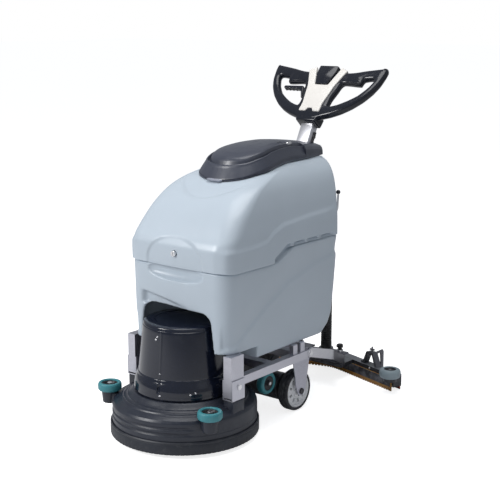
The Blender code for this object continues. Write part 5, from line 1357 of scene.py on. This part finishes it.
cage_plastic = moulded("cage_plastic", (0.42, 0.44, 0.46), 0.45, 0.15, 900, 0.08, 0.1, 0.2)
refined("vacuum_motor", "upper_tank", black_steel, 0.0012)
refined("float_strainer", "upper_tank", cage_plastic, 0.0008)


# --- Guard rollers ------------------------------------------------------------------------------
# A soft teal polyurethane tyre cast round a black plastic core, at each front corner of the deck.
# The core turns on a shouldered bolt.

teal_rubber = moulded("teal_rubber", (0.045, 0.245, 0.285), 0.42, 0.12, 900, 0.06, 0.10, 0.25,
        (0.25, 0.50, 0.54))
core_plastic = moulded("core_plastic", (0.020, 0.021, 0.026), 0.34, 0.15, 900, 0.1, 0.12, 0.4)


def middle_of(name):
    """The middle of a CAD node's box."""
    low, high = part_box(name)
    return (Vector(low) + Vector(high)) / 2


def foot_of(name):
    """The middle of a CAD node's underside."""
    place = middle_of(name)
    place.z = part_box(name)[0][2]
    return place


def roller_pieces(name, body, centre, axis, tyre, core, tyre_mat, tyre_slot):
    """A roller's tyre and core, as two pieces on one body. The tyre stands for the CAD roller."""
    for part, profile, mat, slot_name in (("tyre", tyre, tyre_mat, tyre_slot),
            ("core", core, core_plastic, "black_matt")):
        bm = bmesh.new()
        lathe(bm, rounded_line(profile, 0.0022, 4, True), centre, axis, 72, closed=True)
        finished(name + "_" + part, bm, mat, body, name if part == "tyre" else None, angle=50)


for label in ("left", "right"):
    centre = foot_of("guard_roller_" + label)
    ring = [
        (0.0245, 0.0246), (0.0290, 0.0262), (0.0345, 0.0250), (0.0370, 0.0190), (0.0370, 0.0055),
        (0.0335, 0.0003), (0.0245, 0.0003),
    ]
    core = [
        (0.0068, 0.0142), (0.0130, 0.0142), (0.0150, 0.0150), (0.0190, 0.0150), (0.0215, 0.0215),
        (0.0243, 0.0215), (0.0243, 0.0008), (0.0068, 0.0008),
    ]
    name = "guard_roller_" + label
    roller_pieces(name, "guard_wheel_" + label, centre, "Z", ring, core, teal_rubber, "teal_rubber")


# --- Idler roller -------------------------------------------------------------------------------
# The same teal roller, upright, on its bracket between the deck and the wheels.


def hexagon_head(foot_r, top_r, place, side):
    """A bolt's head that faces along X."""
    bm = bmesh.new()
    bmesh.ops.create_cone(bm, cap_ends=True, segments=6, radius1=foot_r, radius2=top_r, depth=0.005)
    bm.transform(facing(place, (side, 0, 0)))
    return bm


centre = middle_of("idler_roller")
ring = [(0.0240, 0.0125), (0.0330, 0.0128), (0.0370, 0.0080), (0.0370, -0.0080), (0.0330, -0.0128),
        (0.0240, -0.0125)]
core = [(0.0068, 0.0088), (0.0215, 0.0088), (0.0238, 0.0105), (0.0238, -0.0120), (0.0068, -0.0120)]
roller_pieces("idler_roller", "idler", centre, "X", ring, core, teal_rubber, "teal_rubber")
bolt_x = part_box("idler_roller")[1][0] + 0.0016
idler_bolt = hexagon_head(0.0062, 0.0056, Vector((bolt_x, centre.y, centre.z)), 1)
finished("idler_bolt", idler_bolt, zinc, "chassis", angle=30)


# --- Wheels -------------------------------------------------------------------------------------
# White glass-filled nylon rims with moulded slots and three dark bolts, and grey-black rubber
# tyres with two grooves round the tread.

rim_white = moulded("rim_white", (0.88, 0.89, 0.91), 0.36, 0.12, 700, 0.03, 0.10, 0.25, (0.80, 0.80, 0.80))
tyre_rubber = moulded("tyre_rubber", (0.035, 0.036, 0.042), 0.58, 0.35, 700, 0.12, 0.22, 0.45,
        (0.12, 0.12, 0.13))
RIM_SLOTS = 9
RIM_BOLTS = 3
BOLT_RING_R = 0.0162
bolt_dark = moulded("bolt_dark", (0.030, 0.030, 0.036), 0.32, 0.1, 900, 0.1, 0.1, 0.5, (0.3, 0.3, 0.32))
for side in (-1, 1):
    label = "right" if side > 0 else "left"
    centre = middle_of("wheel_tyre_" + label)
    tread = [
        (0.0574, 0.0160), (0.0600, 0.0182), (0.0640, 0.0188), (0.0668, 0.0150), (0.0680, 0.0110),
        (0.0680, 0.0065), (0.0668, 0.0060), (0.0668, 0.0040), (0.0680, 0.0035), (0.0680, -0.0035),
        (0.0668, -0.0040), (0.0668, -0.0060), (0.0680, -0.0065), (0.0680, -0.0110), (0.0668, -0.0150),
        (0.0640, -0.0188), (0.0600, -0.0182), (0.0574, -0.0160),
    ]
    tyre_mesh = bmesh.new()
    lathe(tyre_mesh, rounded_line(tread, 0.0012, 3, True), centre, "X", 96, closed=True)
    finished("tyre_" + label, tyre_mesh, tyre_rubber, "wheel_" + label, "wheel_tyre_" + label, angle=50)
    face = 0.019 * side
    dish = [
        (0.0110, face * 0.98), (0.0170, face * 0.98), (0.0215, face * 0.90), (0.0245, face * 0.66),
        (0.0265, face * 0.60), (0.0450, face * 0.60), (0.0475, face * 0.64), (0.0500, face * 0.92),
        (0.0530, face * 0.96), (0.0570, face * 0.88), (0.0572, -face * 0.84), (0.0110, -face * 0.84),
    ]
    rim_mesh = bmesh.new()
    lathe(rim_mesh, rounded_line(dish, 0.0013, 3, True), centre, "X", 96, closed=True)
    cutters = []
    for k in range(RIM_SLOTS):
        slot_cut = bmesh.new()
        slab(slot_cut, (-0.024, 0.0285, -0.0042), (0.024, 0.0435, 0.0042), 0.0026, 3)
        slot_cut.transform(Matrix.Translation(centre) @ Matrix.Rotation(math.tau * k / RIM_SLOTS, 4, "X"))
        cutters.append(mesh_object("rim_slot", slot_cut))
    rim_made = solid_of(carve(mesh_object("rim", rim_mesh), *cutters))
    finished("rim_" + label, rim_made, rim_white, "wheel_" + label, "wheel_rim_" + label, angle=35)
    bolts = bmesh.new()
    for k in range(RIM_BOLTS):
        turn = math.tau * (k + 0.25) / RIM_BOLTS
        place = centre + Vector((face * 0.93, BOLT_RING_R * math.cos(turn), BOLT_RING_R * math.sin(turn)))
        add_part(bolts, hexagon_head(0.0040, 0.0035, place, side))
    finished("rim_bolts_" + label, bolts, bolt_dark, "wheel_" + label, angle=30)


# --- Squeegee body ------------------------------------------------------------------------------
# The swept channel that holds both blades: a dark aluminium casting. Its faces that point up are
# painted paler, a painted highlight of the light from above.


def overlaid(mat, source, axis, start, end, colour):
    """Lays a second colour over a material's own, past a place or a slope along one axis."""
    tree = mat.node_tree
    apart = node(tree, "SeparateXYZ", axis, {"Vector": node(tree, *source)})
    mask = node(tree, "MapRange", "Result", {"Value": apart, "From Min": start, "From Max": end})
    shader = tree.nodes["Principled BSDF"].inputs
    own = shader["Base Color"].links[0].from_socket
    mix = node(tree, "Mix", "Result", {"Factor": mask, "A": own, "B": colour}, data_type="RGBA")
    tree.links.new(mix, shader["Base Color"])


squeegee_cast = moulded("squeegee_cast", (0.026, 0.027, 0.034), 0.36, 0.25, 800, 0.12, 0.12, 0.6,
        (0.25, 0.25, 0.28))
# Painted highlight: faces whose normal points up are mixed towards a paler grey, standing in for the light
# from above.
overlaid(squeegee_cast, ("NewGeometry", "Normal"), "Z", 0.90, 0.97, (0.17, 0.18, 0.20, 1))
refined("squeegee_body", "squeegee", squeegee_cast, 0.0012)
SWEEP = 0.31  # how far each half is swept back
NOSE = 0.025  # the radius of the bend in the middle


def sweep_y(x):
    """The squeegee's middle line, which bends back from its nose."""
    return 0.824 - SWEEP * (math.sqrt(x * x + NOSE**2) - NOSE)


def arc_place(x, offset=0.0):
    """A point on the squeegee's middle line, moved back square to it by an offset."""
    slope = -SWEEP * x / math.hypot(x, NOSE)
    back = Vector((-slope, 1)).normalized()
    return Vector((x + back.x * offset, sweep_y(x) + back.y * offset, 0))


screw_mesh = bmesh.new()
for x in (-0.295, -0.20, -0.10, 0.10, 0.20, 0.295):
    front = arc_place(x, -0.0184)
    out = (arc_place(x, -1.0) - arc_place(x, 0)).normalized()
    add_screw(screw_mesh, 0.0040, row(front.x, front.y, 0.0505), out)
finished("squeegee_screws", screw_mesh, zinc, "squeegee", outward=False)


# --- Squeegee blades ----------------------------------------------------------------------------
# Two strips of cast polyurethane: an amber front blade whose lower edge is notched to let water
# in, and a plain red rear blade that wipes the floor dry.


STRIP_STEPS = 314  # lengthwise, with a notch at every sixth


def swept_strip(name, inner, outer, low, high, mat, node_name, notch=0.0, half_w=0.314):
    """A strip that follows the squeegee's sweep, with notches in its lower edge if it has them."""
    bm = bmesh.new()
    columns = []
    for k in range(STRIP_STEPS + 1):
        x = half_w * (2 * k / STRIP_STEPS - 1)
        foot = low + (notch if k % 6 in (0, 1) and 3 < k < STRIP_STEPS - 3 else 0.0)
        near, far = arc_place(x, inner), arc_place(x, outer)
        corners = ((near, foot), (far, foot), (far, high), (near, high))
        columns.append([bm.verts.new(row(p.x, p.y, z)) for p, z in corners])
    skin_rings(bm, columns)
    return finished(name, bm, mat, "squeegee", node_name, angle=30)


amber = moulded("amber_rubber", (0.50, 0.235, 0.045), 0.34, 0.08, 600, 0.08, 0.12, 0.2, (0.62, 0.36, 0.12))
set_shader(amber, {"Subsurface Weight": 0.25, "Subsurface Scale": 0.003})
red = moulded("red_rubber", (0.36, 0.055, 0.030), 0.38, 0.08, 600, 0.08, 0.12, 0.2, (0.5, 0.15, 0.1))
BLADE_TOP = 0.044
NEAR, FAR = 0.0183, 0.0218  # a blade's two faces, from the middle line
swept_strip("front_blade", -FAR, -NEAR, 0.0, BLADE_TOP, amber, "blade_front", 0.0035)
swept_strip("rear_blade", NEAR, FAR, 0.0, BLADE_TOP, red, "blade_rear")


# --- Blade straps -------------------------------------------------------------------------------
# Dark anodised strips that clamp each blade to the channel. The blade stands about 15 mm below.

# The straps use the squeegee's material, so their upward faces carry the same painted highlight.
for name, inner, outer in (("front_strap", -0.0240, -0.0219), ("rear_strap", 0.0219, 0.0240)):
    swept_strip(name, inner, outer, 0.0155, BLADE_TOP, squeegee_cast, None, half_w=0.310)


# --- Squeegee arm, straps and casters -----------------------------------------------------------
# The folded stainless arms that lift the squeegee, dark-coated at their rear end, and at each side
# the arched strap with its height screw, small trailing caster, end roller and clamp knob.

arm_steel = brushed("arm_steel", (0.66, 0.66, 0.70), 0.24, (900, 40, 700), 0.2)
coat_y = AXIS_Y + 0.508
overlaid(arm_steel, ("TexCoord", "Object"), "Y", coat_y, coat_y + 0.004, (0.16, 0.16, 0.19, 1))
refined("squeegee_arm", "squeegee", arm_steel, 0.0010)
strap_steel = brushed("strap_steel", (0.17, 0.17, 0.19), 0.34, (700, 60, 700), 0.25)
caster_rubber = moulded("caster_rubber", (0.022, 0.022, 0.026), 0.5, 0.25, 900, 0.15, 0.2, 0.4)
roller_rubber = moulded("roller_rubber", (0.28, 0.35, 0.39), 0.45, 0.12, 900, 0.05, 0.12, 0.25,
        (0.45, 0.52, 0.56))
knob_plastic = moulded("knob_plastic", (0.016, 0.016, 0.019), 0.34, 0.15, 900, 0.1, 0.1, 0.4)


def lobes(angle, radius, height):
    """The five lobes of a clamp knob's head."""
    return 0.0011 * math.cos(5 * angle) if radius > 0.009 and height > 0.017 else 0.0


for label in ("left", "right"):
    refined("caster_strap_" + label, "squeegee", strap_steel, 0.0007)
    centre = middle_of("caster_wheel_" + label)
    wheel_mesh = bmesh.new()
    wheel_profile = [(0.0045, 0.0080), (0.0110, 0.0080), (0.0120, 0.0068), (0.0165, 0.0068), (0.0178, 0.0080),
            (0.0200, 0.0052)]
    wheel_profile += [(r, -h) for r, h in wheel_profile[::-1]]
    lathe(wheel_mesh, rounded_line(wheel_profile, 0.0010, 3, True), centre, "X", 64, closed=True)
    finished("caster_" + label, wheel_mesh, caster_rubber, "caster_" + label, "caster_wheel_" + label,
            angle=40)
    centre = foot_of("end_roller_" + label)
    ring = [
        (0.0205, 0.0296), (0.0285, 0.0299), (0.0340, 0.0270), (0.0365, 0.0200), (0.0365, 0.0090),
        (0.0325, 0.0004), (0.0205, 0.0004),
    ]
    core = [(0.0058, 0.0222), (0.0170, 0.0222), (0.0200, 0.0270), (0.0203, 0.0285), (0.0203, 0.0010),
            (0.0058, 0.0010)]
    name = "end_roller_" + label
    roller_pieces(name, "end_wheel_" + label, centre, "Z", ring, core, roller_rubber, "grey_rubber")
    centre = foot_of("squeegee_knob_" + label)
    knob_mesh = bmesh.new()
    star = [
        (0.0, 0.0104), (0.0075, 0.0104), (0.0075, 0.0178), (0.0112, 0.0182), (0.0116, 0.0210),
        (0.0116, 0.0260), (0.0095, 0.0295), (0.0040, 0.0300), (0.0, 0.0300),
    ]
    lathe(knob_mesh, rounded_line(star, 0.0012, 3), centre, "Z", 80, swell=lobes)
    finished("star_knob_" + label, knob_mesh, knob_plastic, "knob_" + label, "squeegee_knob_" + label, 45)
    washer_mesh = bmesh.new()
    washer = [(0.0, 0.0), (0.0125, 0.0), (0.0125, 0.0098), (0.0, 0.0098)]
    lathe(washer_mesh, rounded_line(washer, 0.0010, 3), centre, "Z", 64)
    finished("knob_washer_" + label, washer_mesh, zinc, "knob_" + label, None, 40)


# --- Floor, backdrop and lights -----------------------------------------------------------------
# A plain white studio floor that keeps the machine's shadow, and three soft lights.


FLOOR_GLOW = 0.80  # lifts the floor to white for the camera only
GLOSS_LEVEL = 0.14  # how bright the white room looks in a reflection
FILL_LEVEL = 0.23  # and as plain light


def studio_white():
    """White to the camera, and a plain floor otherwise."""
    mat, tree, shader = new_material("studio_white")
    set_shader(mat, {"Base Color": (0.86, 0.86, 0.87, 1), "Roughness": 0.9, "Specular IOR Level": 0.0})
    seen = node(tree, "LightPath", "Is Camera Ray")
    power = node(tree, "Math", "Value", {0: seen, 1: FLOOR_GLOW}, operation="MULTIPLY")
    glow = node(tree, "Emission", "Emission", {"Color": (1, 1, 1, 1), "Strength": power})
    lit = tree.nodes["Principled BSDF"].outputs["BSDF"]
    both = node(tree, "AddShader", "Shader", {0: lit, 1: glow})
    tree.links.new(both, tree.nodes["Material Output"].inputs["Surface"])
    return mat


floor_mesh = bmesh.new()
bmesh.ops.create_grid(floor_mesh, x_segments=1, y_segments=1, size=40.0)
studio_floor = mesh_object("studio_floor", floor_mesh)
studio_floor.data.materials.append(studio_white())
studio_floor.location.z = min(0.0, cad_low[2]) - 0.0004

world = bpy.data.worlds.new("studio")
bpy.context.scene.world = world
world.use_nodes = True
tree = world.node_tree
ray = node(tree, "LightPath")
seen = ray["Is Camera Ray"]
gloss = node(tree, "Math", "Value", {0: ray["Is Glossy Ray"], 1: GLOSS_LEVEL}, operation="MULTIPLY")
shown = node(tree, "Math", "Value", {0: gloss, 1: seen}, operation="MAXIMUM")
level = node(tree, "MapRange", "Result", {"Value": shown, "To Min": FILL_LEVEL, "To Max": 1.0})
tint = {"Factor": seen, "A": (0.96, 1.0, 1.05, 1), "B": (1.0, 1.0, 1.0, 1)}
tint = node(tree, "Mix", "Result", tint, data_type="RGBA")
link_all(tree, tree.nodes["Background"].inputs, {"Color": tint, "Strength": level})


def soft_light(name, place, target, size, power, colour=(1, 1, 1)):
    """A square softbox that faces its target."""
    data = bpy.data.lights.new(name, "AREA")
    data.shape = "RECTANGLE"
    data.size, data.size_y = size
    data.energy = power
    data.color = colour
    light = bpy.data.objects.new(name, data)
    light.location = place
    light.rotation_euler = (Vector(target) - Vector(place)).to_track_quat("-Z", "Y").to_euler()
    bpy.context.collection.objects.link(light)


soft_light("key_box", (-1.6, -3.4, 2.7), (0, 0, 0.5), (1.5, 1.5), 98)
soft_light("top_box", (0.2, -0.2, 3.4), (0, 0, 0.4), (2.2, 2.2), 56)
soft_light("side_box", (3.6, -0.6, 1.8), (0, 0, 0.4), (1.4, 1.8), 1.5, (0.92, 0.96, 1.0))
